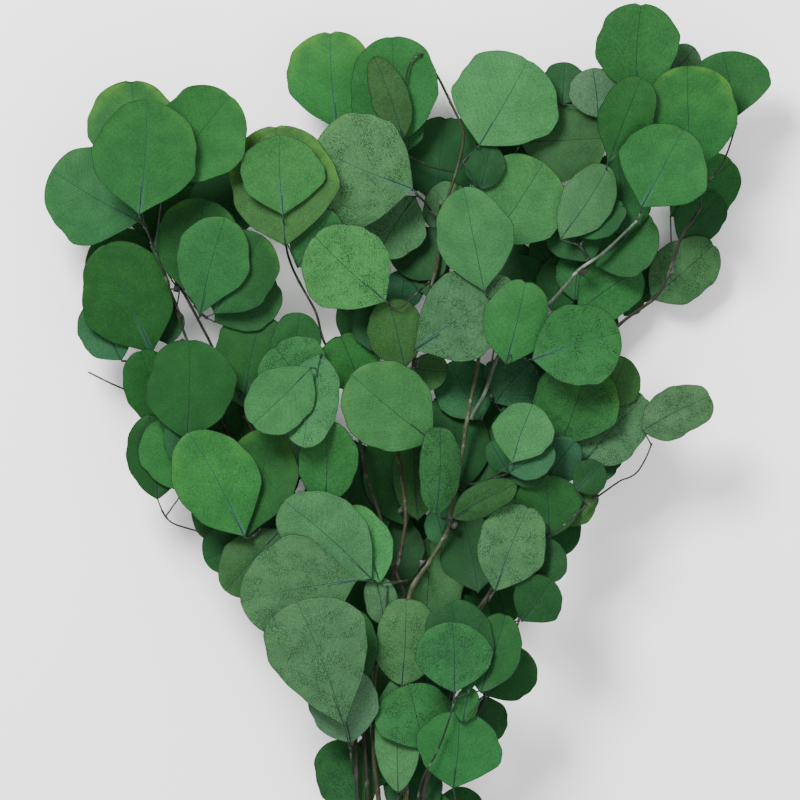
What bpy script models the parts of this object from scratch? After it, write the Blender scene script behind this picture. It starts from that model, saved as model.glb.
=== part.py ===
"""A cut eucalyptus branch lying on its back leaves: one forked stem, its twigs and its round leaves."""
import math

import bpy
import bmesh
import numpy as np
from mathutils import Vector

# Driving dimensions, in metres
photo_width = 0.52            # what the photograph's 800 pixels cover on the real branch
photo_pixels = 800
leaf_thickness = 0.0008
petiole_radius = 0.0006
twig_radius = 0.0008
seat_gap = 0.00035            # between a twig's end and the stem that carries it
layer_gap = 0.0010            # between one leaf and the next that lies on it
half_slab = 0.0013            # the stems' own layer, above and below their axes
bend_tolerance = 0.0003       # how far a tube's straight runs leave its smooth route
steepest_leaf = math.tan(math.radians(17))
least_stalk = 0.0025          # between a twig and the base of a leaf on it
root_cover = 0.0006           # how far a pile may stand over a stem where a twig leaves it
slab_edge = 0.003             # tubes under this height shut out roots from the stems' layer beside them
crumb_faces = 12              # a loose scrap with fewer faces than this is no leaf
root_search = 110             # how many points along its stem a twig's root may move to find a free place
covered_cost = 0.015          # how much further a stalk reaches for a bare place on its twig
back_leaf_height = 0.002      # where a leaf behind a front sprig starts, outwards from the stems' axes
pixel = photo_width / photo_pixels

# The height map that the leaves are laid on
cell = 0.0015
map_left = -0.27
map_bottom = -0.16
map_columns = 360
map_rows = 480

# Stems: name, the stem it grows from, its radius at its base and tip in millimetres, and its route in photo
# pixels
stems = [
    ("main_stem", None, 3.4, 2.6, [(396, 1010), (394, 960), (397, 905), (400, 868)]),
    ("centre_right_stem", "main_stem", 1.8, 0.9, [
        (400, 868), (404, 830), (406, 790), (404, 740), (403, 690), (405, 640), (410, 592), (430, 560),
        (447, 532), (450, 515), (455, 490), (462, 455), (466, 425), (476, 375), (481, 340), (488, 290),
        (500, 240), (520, 190), (545, 150), (575, 122), (600, 108)]),
    ("centre_stem", "main_stem", 1.7, 0.8, [
        (397, 890), (386, 850), (380, 810), (374, 760), (373, 710), (376, 660), (388, 600), (402, 545),
        (406, 510), (398, 447), (405, 405), (413, 370), (417, 330), (427, 300), (437, 268), (439, 245),
        (447, 200), (457, 170), (464, 135), (455, 112), (440, 80), (425, 55)]),
    ("right_outer_stem", "main_stem", 1.7, 0.9, [
        (399, 885), (413, 845), (421, 805), (430, 765), (442, 725), (453, 690), (462, 650), (470, 620),
        (486, 598), (510, 555), (535, 500), (560, 440), (585, 385), (614, 330), (656, 297), (670, 270),
        (680, 240), (700, 208)]),
    ("left_inner_stem", "main_stem", 1.6, 0.8, [
        (396, 910), (378, 868), (370, 818), (366, 765), (364, 715), (360, 665), (345, 610), (318, 560),
        (262, 450), (232, 390), (213, 348), (197, 318), (185, 295), (165, 265)]),
    ("left_outer_stem", "main_stem", 1.6, 0.8, [
        (394, 948), (366, 886), (359, 825), (357, 770), (354, 715), (345, 660), (325, 610), (300, 560),
        (262, 490), (225, 425), (203, 375), (186, 338), (172, 300), (163, 270), (150, 235)]),
    ("right_inner_stem", "centre_right_stem", 1.3, 0.9, [
        (468, 420), (484, 395), (497, 358), (520, 332), (548, 305), (568, 283), (576, 272), (590, 262),
        (605, 252), (637, 221)]),
    ("centre_left_stem", "centre_right_stem", 1.2, 0.7, [
        (409, 600), (396, 572), (380, 515), (366, 475), (358, 430), (343, 378), (323, 340), (316, 312),
        (297, 278), (288, 256), (285, 238)]),
    ("low_right_stem", "right_outer_stem", 1.2, 0.8, [
        (431, 770), (452, 738), (478, 712), (490, 680), (505, 650), (513, 635), (518, 622)]),
]

# Sprigs, in the order in which they lie, from the stems outwards. Each has its name, its stem, the side of
# the stems that it lies on, its twigs' routes, and its leaves: base, tip and width in photo pixels, then its
# shape and its look. The first point of the first twig is where it leaves the stem.
sprigs = [
    ("left_under_spray", "left_inner_stem", "above", [[(222, 368), (240, 398)]], [
        (250, 410, 248, 345, 55, "oval grey"),
        (245, 395, 262, 315, 78, "round deep"),
        (250, 470, 300, 470, 70, "round dark below"),
        (215, 455, 160, 425, 66, "round deep below")]),
    ("left_edge_spray", "left_outer_stem", "above", [[(186, 338), (165, 352), (140, 361), (121, 361)]], [
        (121, 360, 93, 300, 56, "oval teal"),
        (153, 354, 107, 244, 94, "spade deep bluerib")]),
    ("left_bare_twig_spray", "left_outer_stem", "above", [
        [(222, 420), (192, 424), (168, 432)],
        [(178, 429), (160, 408), (135, 394), (110, 383), (88, 372)]], [
        (167, 428, 140, 350, 58, "oval deep")]),
    ("left_inner_fan", "left_inner_stem", "above", [[(192, 307), (208, 319)]], [
        (184, 290, 206, 200, 86, "round deep"),
        (215, 322, 279, 285, 62, "round dark"),
        (215, 314, 262, 236, 76, "round dark"),
        (200, 318, 226, 219, 74, "obovate mid")]),
    ("left_low_twig", "left_outer_stem", "above", [
        [(300, 560), (262, 560), (232, 549), (205, 533), (172, 523), (162, 510)]], [
        (158, 499, 150, 415, 58, "oval deep"),
        (185, 490, 160, 418, 62, "oval mid")]),
    ("left_middle_leaf", "left_outer_stem", "above", [[(228, 430), (206, 440), (192, 442)]], [
        (185, 470, 180, 413, 36, "oval teal"),
        (188, 440, 190, 340, 90, "round deep")]),
    ("left_low_under", "left_outer_stem", "above", [[(290, 543), (268, 540), (250, 544)]], [
        (247, 541, 205, 560, 50, "oval dark"),
        (248, 545, 285, 515, 34, "oval dark"),
        (282, 528, 226, 590, 58, "round olive")]),
    ("left_low_pair", "left_outer_stem", "above", [[(276, 515), (262, 530), (249, 538)]], [
        (248, 539, 272, 430, 72, "obovate deep"),
        (246, 537, 190, 432, 84, "spade mid bluerib")]),
    ("middle_left_leaf", "left_inner_stem", "above", [[(318, 560), (327, 532), (326, 514)]], [
        (326, 508, 327, 420, 60, "round mid")]),
    ("centre_left_cluster", "centre_left_stem", "above", [
        [(326, 345), (318, 368), (318, 396)], [(318, 368), (345, 384), (360, 392)]], [
        (290, 372, 300, 313, 50, "round dark"),
        (362, 392, 340, 335, 62, "round mid"),
        (318, 400, 275, 345, 78, "round light speckled"),
        (322, 354, 304, 447, 60, "oval light speckled"),
        (312, 368, 253, 425, 64, "round light")]),
    ("centre_top_left", "centre_stem", "above", [
        [(457, 172), (430, 166), (400, 152), (360, 138), (341, 130)]], [
        (408, 150, 412, 108, 30, "oval mid"),
        (337, 128, 330, 31, 92, "round mid yellow bluerib")]),
    ("centre_tip", "centre_stem", "above", [[(425, 55), (412, 61), (405, 85), (402, 138)]], [
        (400, 145, 392, 37, 90, "round mid first"),
        (403, 140, 374, 58, 38, "oval olive folded")]),
    ("centre_grey_pair", "centre_stem", "above", [[(438, 224), (426, 203), (415, 193)]], [
        (415, 196, 378, 255, 62, "round grey speckled"),
        (413, 190, 314, 150, 116, "round grey speckled bluerib")]),
    ("centre_left_top", "centre_left_stem", "above", [[(285, 238), (284, 223)]], [
        (298, 268, 332, 212, 56, "round mid"),
        (286, 247, 276, 127, 108, "round olive yellow"),
        (284, 217, 281, 138, 84, "spade light bluerib")]),
    ("left_top_spray", "left_outer_stem", "above", [[(150, 235), (144, 223)]], [
        (140, 222, 52, 170, 98, "round mid"),
        (135, 180, 132, 81, 92, "round mid yellow"),
        (165, 182, 232, 98, 92, "round mid"),
        (141, 217, 150, 103, 107, "spade mid bluerib")]),
    ("crown_low_pair", "centre_right_stem", "above", [
        [(512, 210), (500, 228), (492, 241)], [(506, 218), (508, 180), (519, 145)]], [
        (520, 142, 605, 138, 85, "round olive"),
        (490, 243, 543, 163, 100, "round light")]),
    ("crown_top_spray", "centre_right_stem", "above", [[(601, 108), (620, 103), (635, 98)]], [
        (562, 105, 565, 62, 45, "oval deep"),
        (598, 118, 592, 69, 56, "oval palegrey"),
        (660, 85, 695, 48, 45, "oval grey"),
        (636, 96, 640, 5, 84, "round mid")]),
    ("centre_top_right", "centre_stem", "above", [[(458, 170), (464, 160), (477, 148)]], [
        (480, 190, 490, 145, 40, "oval dark"),
        (479, 146, 528, 60, 110, "round light")]),
    ("right_top_pair", "right_outer_stem", "above", [
        [(700, 208), (699, 190), (693, 174)], [(699, 190), (722, 165), (737, 122)]], [
        (735, 118, 722, 52, 80, "round mid"),
        (692, 172, 686, 67, 98, "round mid yellow")]),
    ("right_inner_spray", "right_inner_stem", "above", [
        [(590, 262), (580, 246), (567, 241)], [(580, 246), (597, 212), (606, 168)]], [
        (575, 235, 625, 205, 35, "oval dark"),
        (560, 240, 608, 167, 52, "round grey"),
        (606, 166, 640, 79, 56, "obovate mid folded")]),
    ("right_inner_top", "right_inner_stem", "above", [[(637, 221), (641, 211)]], [
        (640, 209, 682, 130, 92, "spade mid bluerib")]),
    ("centre_mid_spray", "centre_stem", "above", [[(413, 368), (418, 358)]], [
        (370, 350, 372, 300, 40, "oval dark"),
        (405, 368, 388, 300, 58, "round olive"),
        (413, 351, 515, 286, 86, "spade grey speckled bluerib")]),
    ("centre_left_round", "centre_stem", "above", [[(418, 322), (402, 312), (388, 304)]], [
        (386, 302, 315, 237, 88, "round light speckled")]),
    ("right_mid_cluster", "right_outer_stem", "above", [[(560, 440), (572, 452)]], [
        (580, 465, 645, 397, 66, "round grey speckled"),
        (600, 410, 625, 358, 50, "round olive"),
        (560, 447, 590, 362, 88, "spade mid yellow speckled"),
        (575, 440, 618, 470, 50, "round dark below")]),
    ("centre_right_fan", "right_inner_stem", "above", [
        [(498, 358), (497, 328), (486, 296)], [(499, 345), (516, 356), (529, 360)]], [
        (505, 365, 525, 281, 65, "round mid"),
        (484, 293, 463, 189, 76, "spade light"),
        (531, 360, 618, 333, 84, "round mid speckled bluerib")]),
    ("right_low_cluster", "right_outer_stem", "above", [[(532, 508), (545, 520), (549, 534)]], [
        (542, 485, 575, 440, 45, "oval teal"),
        (560, 525, 590, 483, 40, "oval olive"),
        (549, 538, 545, 475, 70, "round deep"),
        (540, 516, 572, 550, 50, "round dark below")]),
    ("right_far_leaf", "right_outer_stem", "above", [
        [(545, 476), (560, 492), (575, 492), (598, 484), (632, 476), (645, 458), (651, 443)]], [
        (575, 490, 600, 463, 36, "oval dark"),
        (642, 430, 709, 396, 50, "blunt grey speckled")]),
    ("low_right_tip", "low_right_stem", "above", [[(518, 622), (519, 610)]], [
        (520, 580, 560, 545, 50, "round dark"),
        (521, 620, 550, 578, 52, "round dark"),
        (510, 628, 492, 570, 58, "round dark below")]),
    ("right_speckled_leaf", "right_outer_stem", "above", [[(486, 600), (493, 592)]], [
        (494, 590, 528, 505, 68, "round grey speckled")]),
    ("centre_round_leaf", "centre_right_stem", "above", [[(461, 460), (448, 449), (436, 443)]], [
        (432, 441, 352, 375, 88, "round light")]),
    ("centre_right_mid", "centre_right_stem", "above", [[(456, 486), (485, 482), (508, 473)]], [
        (508, 472, 490, 440, 25, "oval dark"),
        (510, 478, 545, 470, 25, "oval dark"),
        (508, 472, 552, 445, 40, "oval teal"),
        (511, 463, 532, 404, 62, "spade light")]),
    ("centre_rolled_pair", "centre_right_stem", "above", [[(450, 517), (442, 519)]], [
        (436, 514, 440, 427, 42, "blunt light speckled rolled"),
        (452, 517, 515, 483, 34, "oval olive folded")]),
    ("low_left_fan", "centre_right_stem", "above", [[(410, 592), (394, 585), (374, 580)]], [
        (385, 625, 375, 575, 34, "oval grey"),
        (380, 582, 352, 505, 50, "oval light"),
        (372, 578, 285, 500, 78, "round grey"),
        (358, 579, 242, 600, 100, "spade grey speckled bluerib")]),
    ("low_centre_spray", "centre_right_stem", "above", [
        [(404, 822), (398, 798)], [(398, 798), (394, 750), (398, 700), (400, 686)],
        [(398, 798), (410, 775), (422, 752)]], [
        (398, 790, 402, 676, 46, "blunt grey"),
        (402, 684, 406, 598, 60, "blunt grey speckled"),
        (423, 748, 408, 683, 80, "round mid speckled")]),
    ("low_right_leaf", "right_outer_stem", "above", [[(424, 796), (440, 805), (458, 802)]], [
        (453, 786, 459, 709, 84, "round mid")]),
    ("low_right_mid", "low_right_stem", "above", [[(488, 688), (484, 694)]], [
        (462, 720, 470, 685, 26, "oval mid"),
        (487, 695, 528, 652, 55, "round deep"),
        (480, 690, 505, 612, 52, "oval deep"),
        (484, 694, 488, 742, 44, "round dark below"),
        (452, 704, 416, 664, 60, "round dark below")]),
    ("low_right_bright", "right_outer_stem", "above", [
        [(419, 815), (424, 777), (437, 750), (449, 716), (455, 694)]], [
        (468, 690, 450, 598, 70, "round dark"),
        (454, 690, 452, 620, 76, "round mid speckled")]),
    ("low_left_pair", "left_outer_stem", "above", [[(357, 772), (351, 752), (354, 737)]], [
        (365, 680, 358, 610, 34, "oval dark"),
        (351, 741, 338, 664, 70, "oval palegrey"),
        (345, 724, 298, 600, 102, "wedge grey speckled")]),
    ("back_left_dark", "left_inner_stem", "below", [[(178, 284), (174, 282)]], [
        (205, 244, 240, 166, 72, "round dark"),
        (177, 283, 215, 200, 75, "round dark"),
        (160, 262, 200, 188, 62, "round dark"),
        (170, 345, 160, 300, 40, "round dark"),
        (150, 290, 96, 236, 72, "round deep"),
        (165, 250, 165, 160, 80, "round deep")]),
    ("back_left_low", "left_inner_stem", "below", [[(266, 456), (272, 464)]], [
        (236, 478, 207, 540, 60, "round deep"),
        (250, 470, 235, 395, 64, "round dark"),
        (292, 484, 298, 410, 62, "round dark"),
        (300, 500, 350, 500, 60, "round deep")]),
    ("back_centre_top", "centre_stem", "below", [[(446, 205), (440, 203)]], [
        (436, 228, 402, 274, 62, "round dark"),
        (440, 235, 452, 181, 48, "oval grey"),
        (437, 205, 446, 116, 80, "round dark"),
        (460, 180, 520, 110, 80, "round deep"),
        (425, 190, 370, 110, 76, "round deep")]),
    ("back_centre", "centre_stem", "below", [[(420, 320), (428, 324)]], [
        (437, 300, 420, 240, 40, "oval dark"),
        (400, 312, 405, 270, 40, "oval teal"),
        (412, 368, 448, 372, 38, "oval olive"),
        (405, 330, 340, 300, 76, "round deep"),
        (435, 330, 495, 312, 70, "round deep")]),
    ("back_right_centre", "right_inner_stem", "below", [[(486, 390), (492, 398)]], [
        (495, 403, 530, 362, 62, "round teal speckled"),
        (482, 420, 450, 362, 62, "round teal"),
        (500, 410, 560, 430, 72, "round deep")]),
    ("back_centre_low", "centre_right_stem", "below", [[(449, 524), (456, 528)]], [
        (462, 492, 448, 392, 68, "round dark"),
        (478, 496, 506, 402, 66, "round dark"),
        (478, 592, 462, 515, 62, "round dark"),
        (455, 532, 470, 466, 50, "round dark"),
        (445, 545, 435, 510, 34, "oval teal"),
        (450, 528, 490, 578, 45, "oval olive"),
        (452, 538, 465, 567, 30, "oval teal"),
        (470, 510, 525, 500, 66, "round deep")]),
    ("back_middle", "centre_stem", "below", [[(406, 507), (400, 512)]], [
        (418, 520, 414, 440, 46, "oval olive"),
        (405, 525, 375, 440, 52, "oval deep"),
        (390, 505, 322, 455, 76, "round dark"),
        (390, 520, 318, 545, 72, "round deep")]),
    ("back_node", "centre_right_stem", "below", [[(426, 566), (420, 560)]], [
        (402, 592, 390, 514, 58, "round dark"),
        (425, 625, 430, 540, 78, "round grey"),
        (415, 550, 415, 508, 30, "oval dark"),
        (410, 605, 345, 636, 86, "round deep"),
        (440, 600, 488, 645, 60, "round deep"),
        (440, 606, 484, 572, 52, "round dark")]),
    ("back_right_inner", "right_inner_stem", "below", [[(582, 268), (584, 274)]], [
        (625, 238, 618, 152, 68, "round dark"),
        (592, 262, 562, 204, 60, "round dark"),
        (588, 262, 655, 222, 70, "round deep"),
        (578, 312, 640, 268, 62, "round mid"),
        (575, 300, 582, 250, 45, "oval mid"),
        (552, 310, 572, 253, 48, "oval dark"),
        (570, 290, 600, 352, 70, "round deep")]),
    ("back_right_dark", "right_inner_stem", "below", [[(536, 318), (534, 308)]], [
        (530, 300, 520, 255, 45, "oval dark"),
        (552, 270, 535, 238, 30, "oval dark"),
        (520, 300, 480, 240, 70, "round dark"),
        (545, 330, 560, 400, 72, "round dark")]),
    ("back_right_edge", "right_outer_stem", "below", [[(668, 274), (674, 262)]], [
        (652, 298, 716, 243, 62, "oval grey speckled"),
        (680, 240, 722, 195, 48, "oval dark"),
        (672, 215, 735, 160, 68, "round mid"),
        (625, 315, 642, 292, 22, "oval dark"),
        (655, 300, 612, 250, 66, "round deep")]),
    ("back_low_left", "left_outer_stem", "below", [[(360, 820), (366, 812)]], [
        (368, 812, 328, 742, 60, "round dark speckled"),
        (372, 790, 376, 735, 50, "round deep"),
        (374, 752, 386, 655, 62, "round dark")]),
    ("back_low_right", "right_outer_stem", "below", [[(419, 820), (430, 835), (436, 848)]], [
        (428, 822, 400, 752, 60, "round dark"),
        (436, 850, 430, 790, 46, "round mid"),
        (444, 856, 468, 788, 56, "round deep")]),
]

# Half-width exponents at the leaf's base and tip, and how far its widest place lies towards the tip
leaf_shapes = {
    "spade": (1.08, 0.52, 1.02),
    "round": (0.82, 0.46, 1.04),
    "obovate": (1.12, 0.46, 1.22),
    "oval": (0.68, 0.50, 1.0),
    "blunt": (0.46, 0.34, 1.0),
    "wedge": (0.56, 0.42, 1.75),
}
rolled_leaf = {"folded": 0.62, "rolled": 0.70}
blade_rings = np.array([0.14, 0.48, 0.84])   # where a leaf's solid has its rings, from its base to its tip

# Colours: red, green and blue
leaf_colours = {
    "light": (0.09, 0.30, 0.09), "mid": (0.055, 0.22, 0.06), "deep": (0.04, 0.16, 0.05),
    "dark": (0.025, 0.12, 0.03), "grey": (0.12, 0.25, 0.14), "palegrey": (0.20, 0.33, 0.20),
    "teal": (0.06, 0.22, 0.12), "olive": (0.06, 0.18, 0.05), "yellow": (0.12, 0.30, 0.05),
}
bark_colour = (0.12, 0.08, 0.05)

above = 1
below = -1
pile = {side: np.full((map_columns, map_rows), half_slab) for side in (above, below)}
stem_near = np.full((map_columns, map_rows), -1)
slab_near = np.zeros((map_columns, map_rows), dtype=bool)


def to_metres(points):
    """Photo pixels to metres: X to the right, Y up the photograph."""
    pixels = np.array(points, dtype=float)
    right = (pixels[:, 0] - photo_pixels / 2) * pixel
    up = (photo_pixels - pixels[:, 1]) * pixel
    return np.column_stack([right, up])


def smooth_route(points, step):
    """Points about a step apart on one smooth curve through a route's own points."""
    knots = to_metres(points)
    if len(knots) == 2:
        count = max(2, math.ceil(np.linalg.norm(knots[1] - knots[0]) / step) + 1)
        return np.linspace(knots[0], knots[1], count)
    slopes = np.gradient(knots, axis=0)
    route = [knots[:1]]
    for first in range(len(knots) - 1):
        start, end = knots[first], knots[first + 1]
        count = max(1, math.ceil(np.linalg.norm(end - start) / step))
        t = (np.arange(1, count + 1) / count)[:, None]
        route.append((2 * t ** 3 - 3 * t ** 2 + 1) * start + (t ** 3 - 2 * t ** 2 + t) * slopes[first]
                     + (3 * t ** 2 - 2 * t ** 3) * end + (t ** 3 - t ** 2) * slopes[first + 1])
    return np.vstack(route)


def cells_at(flat):
    """The height map's cells under plan points."""
    columns = np.clip(((flat[..., 0] - map_left) / cell).astype(int), 1, map_columns - 2)
    rows = np.clip(((flat[..., 1] - map_bottom) / cell).astype(int), 1, map_rows - 2)
    return columns, rows


def surface_near(side, flat):
    """The pile's highest surface at plan points and in the cells beside them."""
    columns, rows = cells_at(flat)
    highest = pile[side][columns, rows]
    for across in (-1, 0, 1):
        for along in (-1, 0, 1):
            highest = np.maximum(highest, pile[side][columns + across, rows + along])
    return highest


def raise_pile(side, flat, heights):
    """Lift the pile's surface over plan points and the cells beside them."""
    columns, rows = cells_at(flat)
    for across in (-1, 0, 1):
        for along in (-1, 0, 1):
            np.maximum.at(pile[side], (columns + across, rows + along), heights)


def bends_of(points, tolerance):
    """The numbers of the points that a route needs to stay within a tolerance of its dense points."""
    first, last = points[0], points[-1]
    chord = last - first
    share = np.clip((points - first) @ chord / max(1e-12, chord @ chord), 0, 1)
    away = np.linalg.norm(points - first - np.outer(share, chord), axis=1)
    furthest = int(np.argmax(away))
    if len(points) < 3 or away[furthest] < tolerance:
        return [0, len(points) - 1]
    head = bends_of(points[:furthest + 1], tolerance)
    tail = bends_of(points[furthest:], tolerance)
    return head + [furthest + number for number in tail[1:]]


def straightened(points):
    """Dense points moved onto the straight runs between a route's bends, and the numbers of its bends."""
    bends = bends_of(points, bend_tolerance)
    numbers = np.arange(len(points))
    columns = [np.interp(numbers, bends, points[bends, axis]) for axis in range(3)]
    return np.column_stack(columns), bends


def envelope(bounds, reach):
    """A smooth line that nowhere lies under the bounds."""
    count = len(bounds)
    highest = np.array([bounds[max(0, i - reach):i + reach + 1].max() for i in range(count)])
    return np.array([highest[max(0, i - reach):i + reach + 1].mean() for i in range(count)])


def drape(flat, radius, side, start, end=None):
    """Outward heights of a thin round thing that lies along plan points on the pile, from a given start."""
    surface = surface_near(side, flat)
    columns, rows = cells_at(flat)
    occupied = (surface > half_slab + 0.0001) | (stem_near[columns, rows] >= 0) | slab_near[columns, rows]
    if end is None:
        occupied[:4] &= surface[:4] > start + least_stalk
    bounds = np.where(occupied, surface + radius + layer_gap, 0.0)
    count = len(flat)
    heights = np.empty(count)
    for i in range(count):
        reach = min(5, i, count - 1 - i if end is not None else 5)
        heights[i] = bounds[max(0, i - reach):i + reach + 1].max()
    heights = np.array([heights[max(0, i - min(3, i)):i + min(3, i) + 1].mean() for i in range(count)])
    lead = min(4.0, (count - 1) / 2)
    fade = np.maximum(np.minimum(np.arange(count) / lead, 1.0), occupied & (np.arange(count) > 0))
    heights = start + (np.maximum(heights, start * 0.5) - start) * fade
    if end is not None:
        fade = np.minimum((count - 1 - np.arange(count)) / lead, 1.0)
        heights = end + (heights - end) * fade
    inside = np.arange(count) > 0
    if end is not None:
        inside[-1] = False
    return np.where(inside, np.maximum(heights, bounds), heights)


def mark_tube(flat, heights, radius, side):
    """Put a tube into both sides of the pile."""
    raise_pile(side, flat, heights + radius)
    raise_pile(-side, flat, radius - heights)
    columns, rows = cells_at(flat[heights < slab_edge])
    for across in (-1, 0, 1):
        for along in (-1, 0, 1):
            slab_near[columns + across, rows + along] = True


def lay_stems():
    """Each stem's axis in three dimensions: all lie in one layer, and one that crosses another climbs it."""
    axes = {}
    for number, (name, parent, base_radius, tip_radius, route) in enumerate(stems):
        flat = smooth_route(route, cell)
        radii = np.linspace(base_radius, tip_radius, len(flat)) / 1000
        if parent:
            flat = leave_from(axes[parent], flat, radii[0])
            radii = np.linspace(base_radius, tip_radius, len(flat)) / 1000
        columns, rows = cells_at(flat)
        surface = surface_near(above, flat)
        crossed = stem_near[columns, rows] >= 0
        crossed[:6] = False
        bounds = np.where(crossed, surface + radii + layer_gap, 0.0)
        heights = envelope(bounds, 5) * np.minimum(np.arange(len(flat)) / 8.0, 1.0)
        points, bends = straightened(np.column_stack([flat, heights]))
        flat, heights = points[:, :2], points[:, 2]
        raise_pile(above, flat, heights + radii)
        raise_pile(below, flat, radii - heights)
        for across in (-2, -1, 0, 1, 2):
            for along in (-2, -1, 0, 1, 2):
                stem_near[columns + across, rows + along] = number
        axes[name] = (points, radii, bends)
    return axes


def leave_from(axis, flat, radius):
    """A plan route moved at its start so that it leaves its parent stem from the side, or from its end."""
    points, radii, bends = axis
    nearest = int(np.argmin(np.linalg.norm(points[:, :2] - flat[0], axis=1)))
    if nearest >= len(points) - 2:
        ahead = points[-1, :2] - points[-3, :2]
        ahead /= np.linalg.norm(ahead)
        fade = np.exp(-np.arange(len(flat)) / 8.0)[:, None]
        return flat + (points[-1, :2] + ahead * seat_gap - flat[0]) * fade
    tangent = points[nearest + 1, :2] - points[nearest - 1, :2]
    tangent /= np.linalg.norm(tangent)
    sideways = np.array([-tangent[1], tangent[0]])
    if np.dot(flat[min(9, len(flat) - 1)] - points[nearest, :2], sideways) < 0:
        sideways = -sideways
    clearance = radii[nearest] + 0.75 * radius + seat_gap
    distances = (flat - points[nearest, :2]) @ sideways
    inside = 0
    while inside < len(flat) - 2 and distances[inside] < clearance:
        inside += 1
    root = points[nearest, :2] + sideways * clearance
    kept = flat[inside:]
    return np.vstack([np.linspace(root, kept[0], 4)[:-1], kept])


def free_root(axis, stem_number, wanted, onward, side):
    """The uncovered place on a stem that is nearest to the wanted one, as a plan point beside the stem."""
    points, radii, bends = axis
    middle = int(np.argmin(np.linalg.norm(points[:, :2] - wanted, axis=1)))
    last = len(points) - 1
    for away in range(root_search):
        for nearest in ((middle + away, middle - away) if away else (middle,)):
            if nearest < 2 or nearest > last:
                continue
            tangent = points[min(nearest + 1, last), :2] - points[min(nearest + 1, last) - 2, :2]
            tangent /= np.linalg.norm(tangent)
            sideways = np.array([-tangent[1], tangent[0]])
            toward = 1 if np.dot(onward - points[nearest, :2], sideways) > 0 else -1
            choices = [sideways * toward]
            if nearest == last:
                choices = [tangent] + choices
            for direction in choices:
                clearance = radii[nearest] + 0.75 * twig_radius + seat_gap
                if direction is tangent:
                    clearance = 2 * seat_gap
                root = points[nearest, :2] + direction * clearance
                column, row = (int(value) for value in cells_at(root))
                around = (slice(column - 1, column + 2), slice(row - 1, row + 2))
                height = points[nearest, 2]
                covered = pile[side][around].max() > side * height + radii[nearest] + root_cover
                others = stem_near[around]
                foreign = ((others >= 0) & (others != stem_number)).any()
                if not (covered or foreign or slab_near[around].any()):
                    return root, height
    return points[middle, :2], points[middle, 2]


def half_width(shape, s):
    """A leaf's half-width at a place from 0 at its base to 1 at its tip, for a leaf one unit wide."""
    base, tip, lean = leaf_shapes[shape]
    place = np.power(s, lean)
    blend = place * place * (3 - 2 * place)
    return 0.5 * np.power(np.clip(4 * place * (1 - place), 0, 1), base + (tip - base) * blend)


def leaf_form(leaf, number, s, v):
    """Plan points and outward heights, before its pitch, of a leaf at places s along and v across it."""
    base_x, base_y, tip_x, tip_y, width, words = leaf
    base, tip = to_metres([(base_x, base_y), (tip_x, tip_y)])
    length = np.linalg.norm(tip - base)
    along = (tip - base) / length
    across = np.array([-along[1], along[0]])
    shape = words.split()[0]
    reach = half_width(shape, s) * width * pixel * v
    flat = base + np.multiply.outer(s, along) * length + np.multiply.outer(reach, across)
    roll = 0.13 * math.sin(2.4 * number + 0.7)
    for word, steep in rolled_leaf.items():
        if word in words:
            roll = steep
    cup = 0.10 * math.cos(1.7 * number)
    droop = 0.05 + 0.05 * math.sin(3.1 * number)
    twist = 0.16 * math.sin(4.3 * number)
    heights = roll * reach + cup * reach ** 2 / (0.5 * width * pixel) - droop * length * s ** 2
    heights = heights + twist * reach * (s - 0.4)
    return flat, heights, length


def lay_leaf(leaf, number, side, joint_height):
    """Pitch and lift a leaf so that it lies on the pile, hinged at its stalk: its base height and pitch."""
    s = np.linspace(0, 1, 64)[:, None] * np.ones((1, 45))
    v = np.linspace(-1, 1, 45)[None, :] * np.ones((64, 1))
    flat, form, length = leaf_form(leaf, number, s, v)
    columns, rows = cells_at(flat)
    needed = pile[side][columns, rows] + layer_gap + leaf_thickness / 2 - form
    run = s * length
    pitch = 0.02 + 0.07 * math.sin(5.3 * number + 1)
    base = max(joint_height, needed[run < 0.006].max())
    far = run >= 0.006
    pitch = max(pitch, ((needed - base)[far] / run[far]).max())
    pitch = min(pitch, steepest_leaf)
    base += max(0.0, (needed - base - pitch * run).max())
    raise_pile(side, flat.reshape(-1, 2), (base + pitch * run + form + leaf_thickness / 2).ravel())
    return base, pitch


def nearest_on(routes, flat_point, least=least_stalk, side=None):
    """The uncovered point of the twigs that is nearest in plan and leaves a stalk of a given length."""
    inner = np.vstack([route[:-1] for route in routes])
    distances = np.linalg.norm(inner[:, :2] - flat_point, axis=1)
    distances[distances < least] += 1.0
    if side:
        covered = surface_near(side, inner) > side * inner[:, 2] + twig_radius + layer_gap
        distances[covered] += covered_cost
    return inner[int(np.argmin(distances))]


def lay_petiole(start, base_flat, base_height, side):
    """A leaf's own stalk: points from its twig to the leaf's base, over what lies between."""
    reach = np.linalg.norm(base_flat - start[:2])
    count = max(3, math.ceil(reach / cell) + 1)
    flat = np.linspace(start[:2], base_flat, count)
    heights = drape(flat, petiole_radius, side, side * start[2], base_height)
    line = np.linspace(side * start[2], base_height, count)
    heights = np.maximum(heights, line - 0.3 * np.abs(base_height - side * start[2]))
    points, bends = straightened(np.column_stack([flat, side * heights]))
    raise_pile(side, points[:, :2], side * points[:, 2] + petiole_radius)
    return points[bends]


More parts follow.
